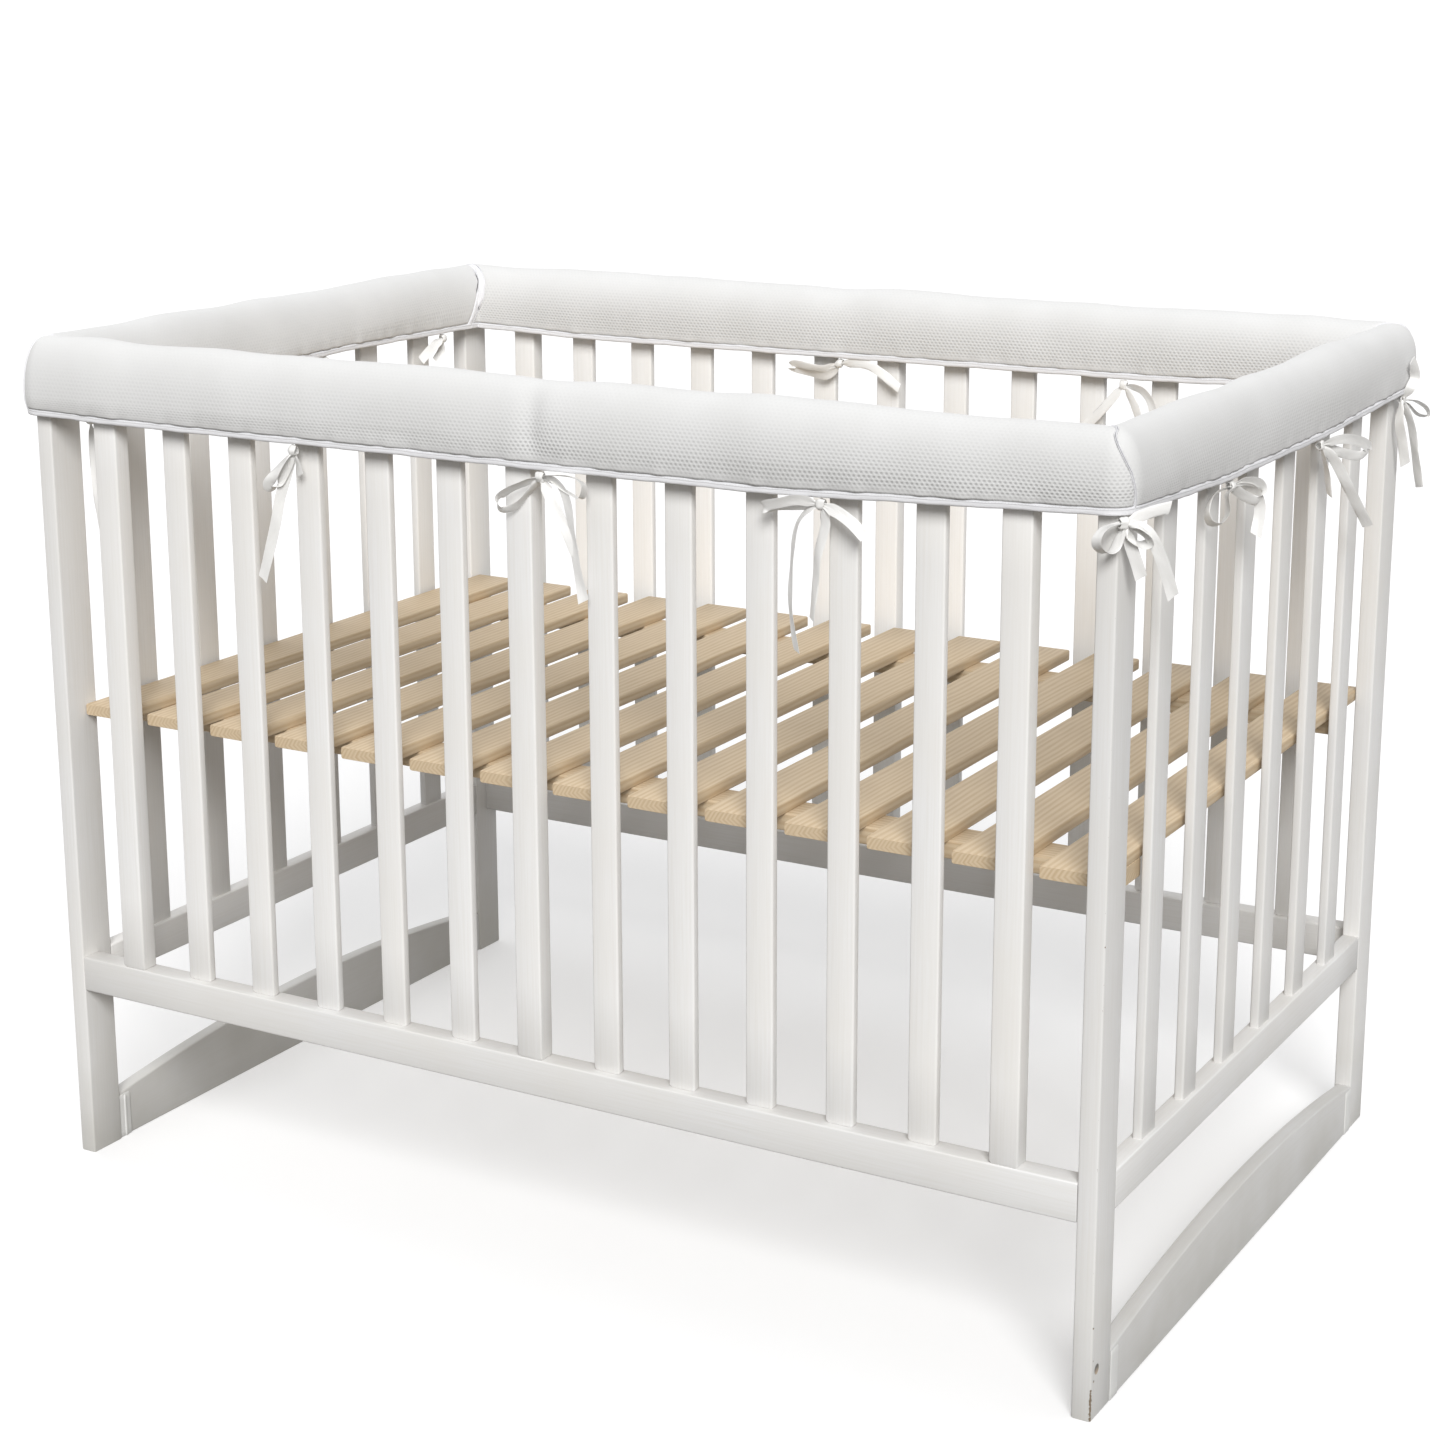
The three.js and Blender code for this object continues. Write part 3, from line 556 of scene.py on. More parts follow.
def woven_cloth(sizes):
    """Plain woven binding tape: fine crossed threads, and a row of stitches
    that pulls in a shallow furrow, painted darker along it as shade. uv runs
    along the tape and across it."""
    tape = Shading("woven_binding_tape", sizes.tape, 0.85)
    along, across = (tape.axis(tape.uv(), name) for name in ("X", "Y"))
    waves_a_metre = 2 * math.pi / THREAD_PITCH
    weave = tape.times(*(tape.math("SINE", tape.times(v, waves_a_metre)) for v in (along, across)))
    shade = tinted(sizes.tape, 0.93)
    colour = tape.mix(tape.ramp(weave, -1.0, 1.0, 0.0, 0.6), sizes.tape, shade)
    height = tape.math("MULTIPLY_ADD", tape.streaks(60, 260, 3.0), 2.5, tape.times(weave, 0.3))
    off = tape.math("ABSOLUTE", tape.math("SUBTRACT", across, STITCH_LINE))
    dash = tape.math("LESS_THAN", tape.math("FRACT", tape.times(along, 1 / STITCH_PITCH)), 0.74)
    thread = tape.times(dash, tape.math("LESS_THAN", off, 0.0003))
    groove_and_shade = tape.ramp(off, 0.0004, 0.0011, 1.0, 0.0)
    # Painted shade along the stitches' furrow
    colour = tape.mix(tape.times(groove_and_shade, 0.25), colour, tinted(sizes.tape, 0.62))
    colour = tape.mix(thread, colour, tinted(sizes.tape, 1.03))
    height = tape.math("MULTIPLY_ADD", groove_and_shade, -1.6, height)
    height = tape.math("MULTIPLY_ADD", thread, 1.8, height)
    tape.shader.inputs["Sheen Weight"].default_value = 0.15
    return tape.finish(Base_Color=colour, Normal=tape.bump(height, 0.0003))


def satin(sizes):
    """Satin ribbon: fine threads along its length and a soft sheen."""
    ribbon = Shading("white_satin_ribbon", sizes.satin, 0.34)
    threads = ribbon.streaks(60, 5200, 2.0)
    shade = tinted(sizes.satin, 0.93, 0.925, 0.91)
    colour = ribbon.mix(ribbon.ramp(threads, 0.35, 0.65, 0.0, 0.7), sizes.satin, shade)
    ripples = ribbon.streaks(120, 300, 2.0)
    height = ribbon.math("MULTIPLY_ADD", ripples, 2.0, ribbon.times(threads, 0.4))
    ribbon.shader.inputs["Sheen Weight"].default_value = 0.2
    ribbon.shader.inputs["Specular IOR Level"].default_value = 0.55
    return ribbon.finish(Base_Color=colour, Normal=ribbon.bump(height, 0.0002))


def moulded_plastic(colour):
    """Pale moulded plastic with a faint uneven skin."""
    plastic = Shading("pale_moulded_bracket", colour, 0.4)
    skin = plastic.noise(plastic.place(), 900.0, 2.0)
    mixed = plastic.mix(plastic.ramp(skin, 0.3, 0.7, 0.0, 0.5), colour, tinted(colour, 0.9))
    return plastic.finish(Base_Color=mixed, Normal=plastic.bump(skin, 0.0002, 0.4))


# Wood


def rounded_outline(width, height, radius, steps=3):
    """Points round a rectangle with rounded corners, the middle at the origin:
    at each corner a quarter circle from angle to angle + 90 degrees."""
    radius = min(radius, width / 2, height / 2)
    angles = np.linspace(0, math.pi / 2, steps + 1)
    points = []
    for quarter, (sx, sy) in enumerate(((1, 1), (-1, 1), (-1, -1), (1, -1))):
        angle = angles + quarter * math.pi / 2
        cx, cy = sx * (width / 2 - radius), sy * (height / 2 - radius)
        points.append(np.stack([cx + radius * np.cos(angle), cy + radius * np.sin(angle)], 1))
    return np.concatenate(points)


def distances(line):
    """Distance along a line from its start to each of its points."""
    steps = np.linalg.norm(np.diff(line, axis=0), axis=1)
    return np.concatenate([[0], np.cumsum(steps)])


def perimeter(outline):
    """Distance round a closed outline at each point and back at the start."""
    return distances(np.concatenate([outline, outline[:1]]))


# The two axes across a stick and the one along it
AXES = {"x": (1, 2, 0), "y": (2, 0, 1), "z": (0, 1, 2)}
STICK_RINGS = 9

# Angles over which the edges of wood, tape and ribbon stay sharp, in degrees
WOOD_CREASE, TAPE_CREASE, RIBBON_CREASE = 50, 60, 70


def grained(points, places, outline, seed, flip=False):
    """A capped tube of points with the grain of its wood along it, each from a
    place of its own in the grain."""
    shift = np.random.default_rng(seed).uniform(0, 3, 2)
    uv = np.meshgrid(places + shift[0], perimeter(outline) + shift[1], indexing="ij")
    return capped(points, np.stack(uv, axis=-1), flip)


def stick(low, high, axis, radius, seed, draw=0.0012):
    """A straight piece of wood between two corners, along an axis: a rounded
    rectangle carried along it, drawn in by draw over the last stretch at both
    ends, with the grain along it."""
    first, second, along = AXES[axis]
    low, high = np.asarray(low, float), np.asarray(high, float)
    middle, size = (low + high) / 2, high - low
    ease = min(draw, size[along] / 8)
    inner = np.linspace(ease, size[along] - ease, STICK_RINGS)
    places = np.concatenate([[0], inner, [size[along]]])
    full = rounded_outline(size[first], size[second], radius)
    small = rounded_outline(size[first] - ease, size[second] - ease, radius)
    rings = np.stack([small, *([full] * STICK_RINGS), small])
    points = np.empty((len(places), len(full), 3))
    points[..., first] = rings[..., 0] + middle[first]
    points[..., second] = rings[..., 1] + middle[second]
    points[..., along] = places[:, None] + low[along]
    return grained(points, places, full, seed)


# The covers


def hem_height(name, x):
    """Height of a cover's hem at x, on straight lines between its table's rows."""
    table = HEMS[name]
    return np.interp(x / SIDES[name]["half"], table["at"], table["z"]) * MM


# Waves of the pads and bindings: lengths in metres and heights in millimetres
SWING = ((0.41, 0.23, 0.13), (0.9, 0.7, 0.35))
TWIST = ((0.17, 0.09), (0.5, 0.25))
PUCKER = ((0.034, 0.021, 0.052), (0.35, 0.3, 0.4))
WOBBLE = ((0.11, 0.061, 0.027), (0.25, 0.15, 0.1))

# Distance from a hem over which the puckers fade out
PUCKER_REACH = 0.010

# Share of a long cover's rows that a short one has
SHORT_SHARE = 0.7

# How far to each side of the top's middle, as a share of the section, the dimples
# are pulled flat, and what is left of them there
FLAT_SHARE, FLAT_SLACK = 0.18, 0.12

# Crease of the front cover in which its dimples show more, with more painted shade: a bell as in
# DENTS
FRONT_CREASE = (42, 0.16, 34, 0.12)


def waves(x, seed, table):
    """A sum of sine waves along x with seeded phases."""
    lengths, heights = table
    phases = np.random.default_rng(seed).uniform(0, 2 * math.pi, len(lengths))
    rows = zip(heights, lengths, phases)
    return sum(h * MM * np.sin(2 * math.pi * x / length + p) for h, length, p in rows)


def bell(along, shares, at, place, reach, spread):
    """A bump of height 1 round a place on a cover: e^-(u^2 + v^2)."""
    return np.exp(-(((along / MM - at) / reach) ** 2) - ((shares - place) / spread) ** 2)


def section(cover, name, x, share, base):
    """The outer surface of a cover's section: offset y and height z at x for a
    share from 0 at the outer hem, over the top, to 1 at the inner hem. Each side
    is a parabola from the hem to the widest line, and the top is a superellipse
    y = w cos(a)^p, z = waist + r sin(a)^p. base is the height over the hem at
    which the surface starts."""
    side = SIDES[name]
    hem = hem_height(name, x)
    waist = np.interp(x / side["half"], (-1, 1), WAISTS[name]) * MM
    wide, tuck, power = cover.half_width, cover.tuck, cover.squareness
    sides = cover.side_share
    angle = math.pi * np.clip((share - sides) / (1 - 2 * sides), 0, 1)
    cosine, sine = np.cos(angle), np.sin(angle)
    y_top = -wide * np.sign(cosine) * np.abs(cosine) ** power
    z_top = waist + (cover.top - waist) * np.abs(sine) ** power
    rise = np.clip(np.minimum(share, 1 - share) / sides, 0, 1)
    z_side = hem + base + (waist - hem - base) * rise
    down = (waist - z_side) / (waist - hem)
    y_side = (wide - tuck * down**2) * np.where(share < 0.5, -1, 1)
    on_side = (share < sides) | (share > 1 - sides)
    return np.where(on_side, y_side, y_top), np.where(on_side, z_side, z_top)


def even_shares(cover, name, count, base):
    """Shares across a cover that are evenly spaced along its middle section."""
    fine = np.linspace(0, 1, 2001)
    y, z = section(cover, name, np.zeros((1, 1)), fine[None, :], base)
    steps = np.hypot(np.diff(y[0]), np.diff(z[0]))
    length = np.concatenate([[0], np.cumsum(steps)])
    return np.interp(np.linspace(0, length[-1], count), length, fine), length[-1]


# How the seam at the front right corner slants round the corner: its angle past
# the mitre, in degrees, at heights in millimetres
SEAM_SLANT = {"z": (862, 872, 886, 904, 925, 941), "angle": (27, 26, 21, 10, -14, -34)}

# How far the seam at the back left corner runs past the inner corner onto the
# back cover, in millimetres, at heights in millimetres
INNER_SEAM = {"z": (864, 880, 900, 922, 938), "past": (-15, -3, 7, 10.5, 8)}

# Distance from a rail's middle at which a seam has left the mitre plane in full
SEAM_REACH = 12 * MM


def seam_shift(name, end, y, z):
    """Length by which a cover's inner half passes the mitre plane: nothing but
    at the back left corner, where the left cover lies over the back one."""
    share = {("left", -1): 1.0, ("back", 1): -1.0}.get((name, end), 0.0)
    past = np.interp(z / MM, INNER_SEAM["z"], INNER_SEAM["past"]) * MM
    return share * past * np.clip(y / SEAM_REACH, 0, 1)


def seam_lean(name, end, y, z):
    """Angle by which a cover's end passes the mitre plane, in radians: nothing
    but at the front right corner, where the front cover's end wraps further
    round at the hem and less at the top."""
    share = {("front", 1): 1.0, ("right", -1): -1.0}.get((name, end), 0.0)
    angle = np.interp(z / MM, SEAM_SLANT["z"], SEAM_SLANT["angle"])
    return share * np.radians(angle) * np.clip(-y / SEAM_REACH, 0, 1)


def run_to_mitre(name, y, z, t, gaps):
    """x and y of a line that keeps the offset y from its rail and turns round the
    corner at each end, through 45 degrees or as far as the seam leans. t runs
    from -1 to 1 by length, gaps are what is left free before the seam at the two
    ends, and the turn has the radius of the outer offset, or a small one inside.
    Past a right angle the line goes straight on along the next rail.
    Returns x, y, the place along the line and the distance left to its end."""
    radius = np.maximum(-y, 2 * MM)
    straight = SIDES[name]["half"] - y - radius
    ends = []
    for end, gap in zip((-1, 1), gaps):
        arc = radius * (math.pi / 4 + seam_lean(name, end, y, z))
        ends.append(straight + arc + seam_shift(name, end, y, z) - gap)
    total = np.where(t < 0, ends[0], ends[1])
    run = np.abs(t) * total
    turn = np.clip((run - straight) / radius, 0, math.pi / 2)
    beyond = np.clip(run - straight - radius * math.pi / 2, 0, None)
    x = np.where(turn > 0, straight + radius * np.sin(turn), run)
    y_turned = y + radius * (1 - np.cos(turn)) + beyond
    return np.sign(t) * x, y_turned, np.sign(t) * run, total - run


# Lengths over which the waves of a pad fade out at its end, and over which its
# channel widens for the post
CALM_END, CORNER_REACH = 0.09, 0.05


def smooth(share):
    """A share kept from 0 to 1 and eased at both ends: s^2 (3 - 2 s)."""
    share = np.clip(share, 0, 1)
    return share**2 * (3 - 2 * share)


def surface_normals(points):
    """Unit normals of a grid of points, from its rows' and columns' steps."""
    rows = np.gradient(points, axis=0)
    columns = np.gradient(points, axis=1)
    normal = np.cross(rows, columns)
    return normal / np.linalg.norm(normal, axis=-1, keepdims=True)


def end_round(distance, radius):
    """How deep a rounded edge lies below its surface at a distance from its end:
    a quarter circle."""
    gap = 1 - np.clip(distance / radius, 0, 1)
    return radius * (1 - np.sqrt(1 - gap**2))


def run_places(count, finest):
    """Places from -1 to 1 along a cover, closer together near its two ends."""
    even = np.linspace(-1, 1, count)
    bent = np.sign(even) * (1 - (1 - np.abs(even)) ** 1.35)
    return bent * (1 - finest) + even * finest


def pad_form(cover, name, seed):
    """The outer and the inner surface of one pad in its side's frame, as grids
    of points, with the length along and across for the uv."""
    side = SIDES[name]
    base = cover.binding_height + cover.seam_gap
    shares, girth = even_shares(cover, name, cover.across, base)
    shares = shares[None, :]
    count = cover.along if side["half"] > FRONT_LINE else int(cover.along * SHORT_SHARE)
    t = run_places(count, 0.4)[:, None]
    y, z = section(cover, name, t * side["half"], shares, base)
    z = np.broadcast_to(z, (count, shares.shape[1]))
    gaps = [width * MM + cover.seam_gap for width in END_BINDINGS[name]]
    x, y_turned, along, to_end = run_to_mitre(name, y, z, t, gaps)
    outer = np.stack([x, y_turned, z], axis=-1)

    across = np.broadcast_to(np.linspace(0, girth, cover.across), to_end.shape)
    to_hem = np.minimum(across, girth - across)
    depth = end_round(to_end, cover.end_radius) * cover.end_share
    depth = depth + end_round(to_hem, cover.hem_radius) * cover.hem_share
    fade = smooth(to_end / CALM_END)
    for at, place, deep, reach, spread in DENTS[name]:
        depth = depth + deep * MM * bell(along, shares, at, place, reach, spread) * fade
    swing = waves(along, seed, SWING)
    twist = waves(along + 0.25 * across, seed + 1, TWIST)
    pucker = waves(along, seed + 2, PUCKER)
    depth = depth + fade * (swing * np.sin(math.pi * shares) + twist)
    depth = depth + fade * pucker * np.exp(-to_hem / PUCKER_REACH)
    outer = outer - surface_normals(outer) * depth[..., None]

    wall = side["rail"] + cover.clearance
    corner = smooth(1 - to_end / CORNER_REACH)
    wall = wall + (cover.corner_wall - wall) * corner
    inner_y = np.clip(y, -wall, wall)
    under = np.minimum(z, cover.channel_top - 2 * MM)
    inner_z = np.where(np.abs(y) > wall, under, cover.channel_top)
    x, inner_turned, _, _ = run_to_mitre(name, inner_y, z, t, gaps)
    inner = np.stack([x, inner_turned, inner_z], axis=-1)
    slack = np.clip((np.abs(shares - 0.5) - FLAT_SHARE) / FLAT_SHARE, 0, 1)
    slack = OPENNESS[name] * (FLAT_SLACK + (1 - FLAT_SLACK) * slack) * (0.8 + 0.2 * fade)
    if name == "front":
        spread = 0.70 + 0.42 * along / side["half"]
        # Painted shade in the front crease: its dimples show deeper and darker there
        crease = 0.5 * bell(along, shares, *FRONT_CREASE)
        slack = slack * np.clip(spread, 0.3, 1.1) + crease
    slack = slack * np.clip(to_hem / (9 * MM), 0.25, 1)
    return outer, inner, np.stack([along, across], axis=-1), slack


def closed_wall(outer, inner, uv):
    """A sheet between two grids of the same shape, closed along all four edges.
    Its ring runs over the outer grid and back under the inner one."""
    ring = np.concatenate([outer, inner[:, ::-1]], axis=1)
    ring_uv = np.concatenate([uv, uv[:, ::-1], uv[:, :1]], axis=1)
    rows, columns = outer.shape[:2]
    tube = grid(ring, ring_uv, wrap=True, flip=True)
    ends = []
    for row, flip in ((0, False), (rows - 1, True)):
        j = np.arange(columns - 1)
        top, under = j, 2 * columns - 1 - j
        faces = np.stack([top, top + 1, under - 1, under], axis=-1) + row * 2 * columns
        corners = np.stack([j, j + 1, j + 1, j], axis=-1)
        if flip:
            faces, corners = faces[:, ::-1], corners[:, ::-1]
        ends.append((faces, uv[row][corners]))
    points, faces, corner_uv = tube
    faces = np.concatenate([faces, *(f for f, _ in ends)])
    corner_uv = np.concatenate([corner_uv, *(u for _, u in ends)])
    return points, faces, corner_uv


# Strips, tubes and ribbons carried along a path


def carried(path, across, through, outline):
    """A closed outline carried along a path. across and through are the
    directions of the outline's two axes at each point of the path."""
    points = (
        path[:, None, :]
        + across[:, None, :] * outline[None, :, 0:1]
        + through[:, None, :] * outline[None, :, 1:2]
    )
    uv = np.meshgrid(distances(path), perimeter(outline), indexing="ij")
    return points, np.stack(uv, axis=-1)


def unit(vectors):
    """Vectors at length one."""
    return vectors / np.linalg.norm(vectors, axis=-1, keepdims=True)


def smooth_path(points):
    """A Catmull-Rom curve through a list of points, as an array."""
    ends = np.concatenate([[2 * points[0] - points[1]], points, [2 * points[-1] - points[-2]]])
    t = np.linspace(0, 1, RIBBON_STEPS, endpoint=False)[:, None]
    spans = []
    for p0, p1, p2, p3 in zip(ends[:-3], ends[1:-2], ends[2:-1], ends[3:]):
        square, cube = 2 * p0 - 5 * p1 + 4 * p2 - p3, 3 * p1 - p0 - 3 * p2 + p3
        spans.append(0.5 * (2 * p1 + (p2 - p0) * t + square * t**2 + cube * t**3))
    return np.concatenate([*spans, points[-1:]])


# Operators


def settings():
    """The sizes and colours of this scene's crib."""
    return bpy.context.scene.crib


def a_number(name, description, default, **kind):
    """A property that is one number."""
    return bpy.props.FloatProperty(name=name, description=description, default=default, **kind)


def a_length(name, description, default):
    """A length, in metres."""
    return a_number(name, description, default, unit="LENGTH")


def a_count(name, description, default):
    """A whole number."""
    return bpy.props.IntProperty(name=name, description=description, default=default)


def an_angle(name, description, degrees):
    """An angle, given in degrees."""
    return a_number(name, description, math.radians(degrees), subtype="ANGLE")


def a_vector(name, description, default, subtype):
    """A place, a direction or a colour."""
    return bpy.props.FloatVectorProperty(
        name=name, description=description, default=default, subtype=subtype
    )


def a_colour(name, description, default):
    """A colour."""
    return a_vector(name, description, default, "COLOR")


class WoodSizes(bpy.types.PropertyGroup):
    """Sizes and colours of the wooden parts."""

    edge: a_length("Edge rounding", "Radius of the long edges", 0.0020)
    paint: a_colour("Paint", "Colour of the paint", (0.79, 0.785, 0.775))
    chip: a_colour("Chips", "Wood seen where paint is gone", (0.36, 0.27, 0.18))
    bare: a_colour("Bare wood", "Colour of the base", (0.62, 0.50, 0.345))


class CoverSizes(bpy.types.PropertyGroup):
    """Sizes and colours of the padded covers and their bindings."""

    half_width: a_length("Half width", "From the rail's middle to the widest line", 0.027)
    top: a_length("Top", "Height of the pad's top", 0.9405)
    tuck: a_length("Tuck", "How far the pad draws in at its hem", 0.005)
    squareness: a_number("Squareness", "Power of the top's superellipse", 0.94)
    side_share: a_number("Side share", "Share of the section that each side takes", 0.2)
    clearance: a_length("Clearance", "Between the pad and the rail's faces", 0.002)
    corner_wall: a_length("Corner channel", "Half width of the channel at a corner", 0.0182)
    channel_top: a_length("Channel top", "Height of the pad's underside", 0.9245)
    binding_height: a_length("Binding", "Height of the binding along the hems", 0.0072)
    seam_gap: a_length("Seam gap", "Between the pad and its binding", 0.0002)
    end_radius: a_length("End rounding", "Reach of the pad's rounding at its ends", 0.008)
    end_share: a_number("End depth", "Share of the rounding's depth at the ends", 0.16)
    hem_radius: a_length("Hem rounding", "Reach of the pad's rounding at its hems", 0.005)
    hem_share: a_number("Hem depth", "Share of the rounding's depth at the hems", 0.05)
    along: a_count("Steps along", "Rows along a long cover", 420)
    across: a_count("Steps across", "Columns across a cover", 90)
    dimple_pitch: a_length("Dimple pitch", "Distance between dimples of the mesh", 0.0050)
    dimple_rows: a_length("Dimple rows", "Distance between rows of dimples", 0.0037)
    cloth: a_colour("Mesh cloth", "Colour of the mesh cloth", (0.71, 0.71, 0.705))
    tape: a_colour("Binding tape", "Colour of the binding", (0.86, 0.86, 0.88))


class RibbonSizes(bpy.types.PropertyGroup):
    """Sizes and colour of the satin ribbon."""

    width: a_length("Width", "Width of the ribbon", 0.011)
    thickness: a_length("Thickness", "Thickness of the ribbon", 0.0006)
    satin: a_colour("Satin", "Colour of the ribbon", (0.86, 0.855, 0.84))


class StageSizes(bpy.types.PropertyGroup):
    """The floor, the lights and the camera."""

    floor: a_length("Floor", "Length of the floor's side", 600.0)
    dome: a_length("Backdrop", "Radius of the white dome", 40.0)
    floor_colour: a_colour("Floor colour", "Colour of the floor", (0.66, 0.66, 0.66))
    floor_glow: a_number(
        "Floor glow", "Light that the floor itself gives, which lifts its shadows", 0.36
    )
    above: a_colour("Light from above", "Even light from above", (0.45, 0.45, 0.455))
    below: a_colour("Light from below", "Light given back by the floor", (0.18, 0.168, 0.152))
    key: a_number("Key light", "Strength of the key light", 3.0)
    key_spread: an_angle("Key spread", "Angle that the key light fills", 26)
    key_height: an_angle("Key height", "Angle of the key light over the floor", 35)
    key_side: an_angle("Key side", "Turn of the key light from the front to the right", 33)
    fill: a_number("Fill light", "Strength of the fill from behind", 0.85)
    fill_spread: an_angle("Fill spread", "Angle that the fill light fills", 75)
    fill_side: an_angle("Fill side", "Turn of the fill light from the key light", 197)
    lens: a_number("Lens", "Focal length", 69.9, subtype="DISTANCE_CAMERA")
    drop: a_number("Shift", "Upright shift of the view", -0.05)
    stand: a_vector(
        "Stand",
        "The camera's place from the crib's middle on the floor",
        (1.517, -2.636, 1.340),
        "TRANSLATION",
    )
    aim: a_vector(
        "Aim",
        "The camera's pitch down, roll and turn to the left",
        (math.radians(14.03), math.radians(0.16), math.radians(30.0)),
        "EULER",
    )


class CribSizes(bpy.types.PropertyGroup):
    """All the sizes of the crib, by group."""

    wood: bpy.props.PointerProperty(type=WoodSizes)
    cover: bpy.props.PointerProperty(type=CoverSizes)
    ribbon: bpy.props.PointerProperty(type=RibbonSizes)
    stage: bpy.props.PointerProperty(type=StageSizes)


def stick_piece(name, node, axis, seed, material, draw=0.0012):
    """One stick of painted wood that fills its CAD node's box."""
    part = stick(*box_of(node), axis, settings().wood.edge, seed, draw)
    mesh_piece(name, node, [part], material, WOOD_CREASE)


class CRIB_OT_posts(bpy.types.Operator):
    """Make the four corner posts, darker towards the floor, the front right one worn at its foot
    """

    bl_idname = "crib.posts"
    bl_label = "Posts"

    def execute(self, context):
        # The posts' paint is slightly darker as painted shade, the damaged post's a little more.
        material = painted_wood(settings().wood, 0.97)
        low, high = box_of("post_front_right")
        damaged = painted_wood(settings().wood, 0.95, (high[0], low[1], 0.0))
        for seed, place in enumerate(("front_left", "front_right", "back_left", "back_right")):
            paint = damaged if place == "front_right" else material
            stick_piece(f"{place}_post", f"post_{place}", "z", seed, paint)
        return {"FINISHED"}


class CRIB_OT_rails(bpy.types.Operator):
    """Make the rails of the two long sides"""

    bl_idname = "crib.rails"
    bl_label = "Rails"

    def execute(self, context):
        # The rails' paint is darker as painted shade.
        material = painted_wood(settings().wood, 0.93)
        rails = (("lower", "front"), ("lower", "back"), ("top", "front"), ("top", "back"))
        for seed, (place, side) in enumerate(rails, 10):
            stick_piece(f"{side}_{place}_rail", f"rail_{place}_{side}", "x", seed, material)
        return {"FINISHED"}


class CRIB_OT_slats(bpy.types.Operator):
    """Make the slats of the two long sides"""

    bl_idname = "crib.slats"
    bl_label = "Slats"

    def execute(self, context):
        # The slats' paint is brighter as painted light.
        material = painted_wood(settings().wood, 1.05)
        nodes = sorted(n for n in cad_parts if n.startswith("slat_"))
        for seed, node in enumerate(nodes, 20):
            name = node.replace("slat_", "long_side_slat_")
            stick_piece(name, node, "z", seed, material, draw=0.0026)
        return {"FINISHED"}


# Sizes of the slats of the end frames
END_SLAT = {"count": 6, "width": 0.035, "depth": 0.010, "tenon": 0.004}
RAIL_HEIGHT = RAIL_HIGH[2] - RAIL_LOW[2]


class CRIB_OT_end_frames(bpy.types.Operator):
    """Make the two end frames: a lower and a top rail and six slats"""

    bl_idname = "crib.end_frames"
    bl_label = "End frames"

    def execute(self, context):
        sizes = settings().wood
        # The end frames' paint is slightly darker as painted shade.
        material = painted_wood(sizes, 0.96)
        for end, seed in (("left", 60), ("right", 70)):
            node = f"end_frame_{end}"
            low, high = box_of(node)
            middle = (low[0] + high[0]) / 2
            sticks = [
                stick(low, [high[0], high[1], low[2] + RAIL_HEIGHT], "y", sizes.edge, seed),
                stick([low[0], low[1], high[2] - RAIL_HEIGHT], high, "y", sizes.edge, seed + 1),
            ]
            clear = high[1] - low[1] - END_SLAT["count"] * END_SLAT["width"]
            gap = clear / (END_SLAT["count"] + 1)
            feet = low[2] + RAIL_HEIGHT - END_SLAT["tenon"]
            heads = high[2] - RAIL_HEIGHT + END_SLAT["tenon"]
            for i in range(END_SLAT["count"]):
                y = low[1] + gap + i * (gap + END_SLAT["width"])
                corners = (
                    [middle - END_SLAT["depth"] / 2, y, feet],
                    [middle + END_SLAT["depth"] / 2, y + END_SLAT["width"], heads],
                )
                sticks.append(stick(*corners, "z", sizes.edge, seed + 2 + i))
            mesh_piece(f"{end}_end_frame", node, sticks, material, WOOD_CREASE)
        return {"FINISHED"}


# Sizes of the foot boards and their brackets. A bracket's bite is what its plates
# sink into the board, and its ridge is given by half its width.
BOARD = {"thickness": 0.017, "end": 0.054, "crown": 0.026, "steps": 64}
BRACKET = {
    "length": 0.018,
    "wall": 0.0016,
    "height": 0.052,
    "lift": 0.0008,
    "bite": 0.0010,
    "ridge": 0.0015,
    "ridge_depth": 0.0014,
    "edge": 0.0008,
    "foot": 0.0002,
}


def arched_board(low, high, inner, radius, seed):
    """A board on its edge along y whose top is an arch: height = end + crown
    (1 - s^2) for s from -1 to 1. A rounded rectangle of that height is carried
    along it. inner is 1 where the inside of the crib is at higher x."""
    thick = BOARD["thickness"]
    outer_face = high[0] if inner < 0 else low[0]
    middle = outer_face + inner * thick / 2
    s = np.linspace(-1, 1, BOARD["steps"])
    height = BOARD["end"] + BOARD["crown"] * (1 - s**2)
    outline = rounded_outline(thick, BOARD["end"], radius)
    points = np.empty((len(s), len(outline), 3))
    points[..., 0] = middle + outline[:, 0]
    points[..., 1] = ((low[1] + high[1]) / 2 + s * (high[1] - low[1]) / 2)[:, None]
    up = outline[:, 1] + BOARD["end"] / 2
    stretch = np.where(up > BOARD["end"] / 2, 1.0, 0.0)
    points[..., 2] = up + stretch * (height[:, None] - BOARD["end"])
    return grained(points, points[:, 0, 1], outline, seed, flip=True)


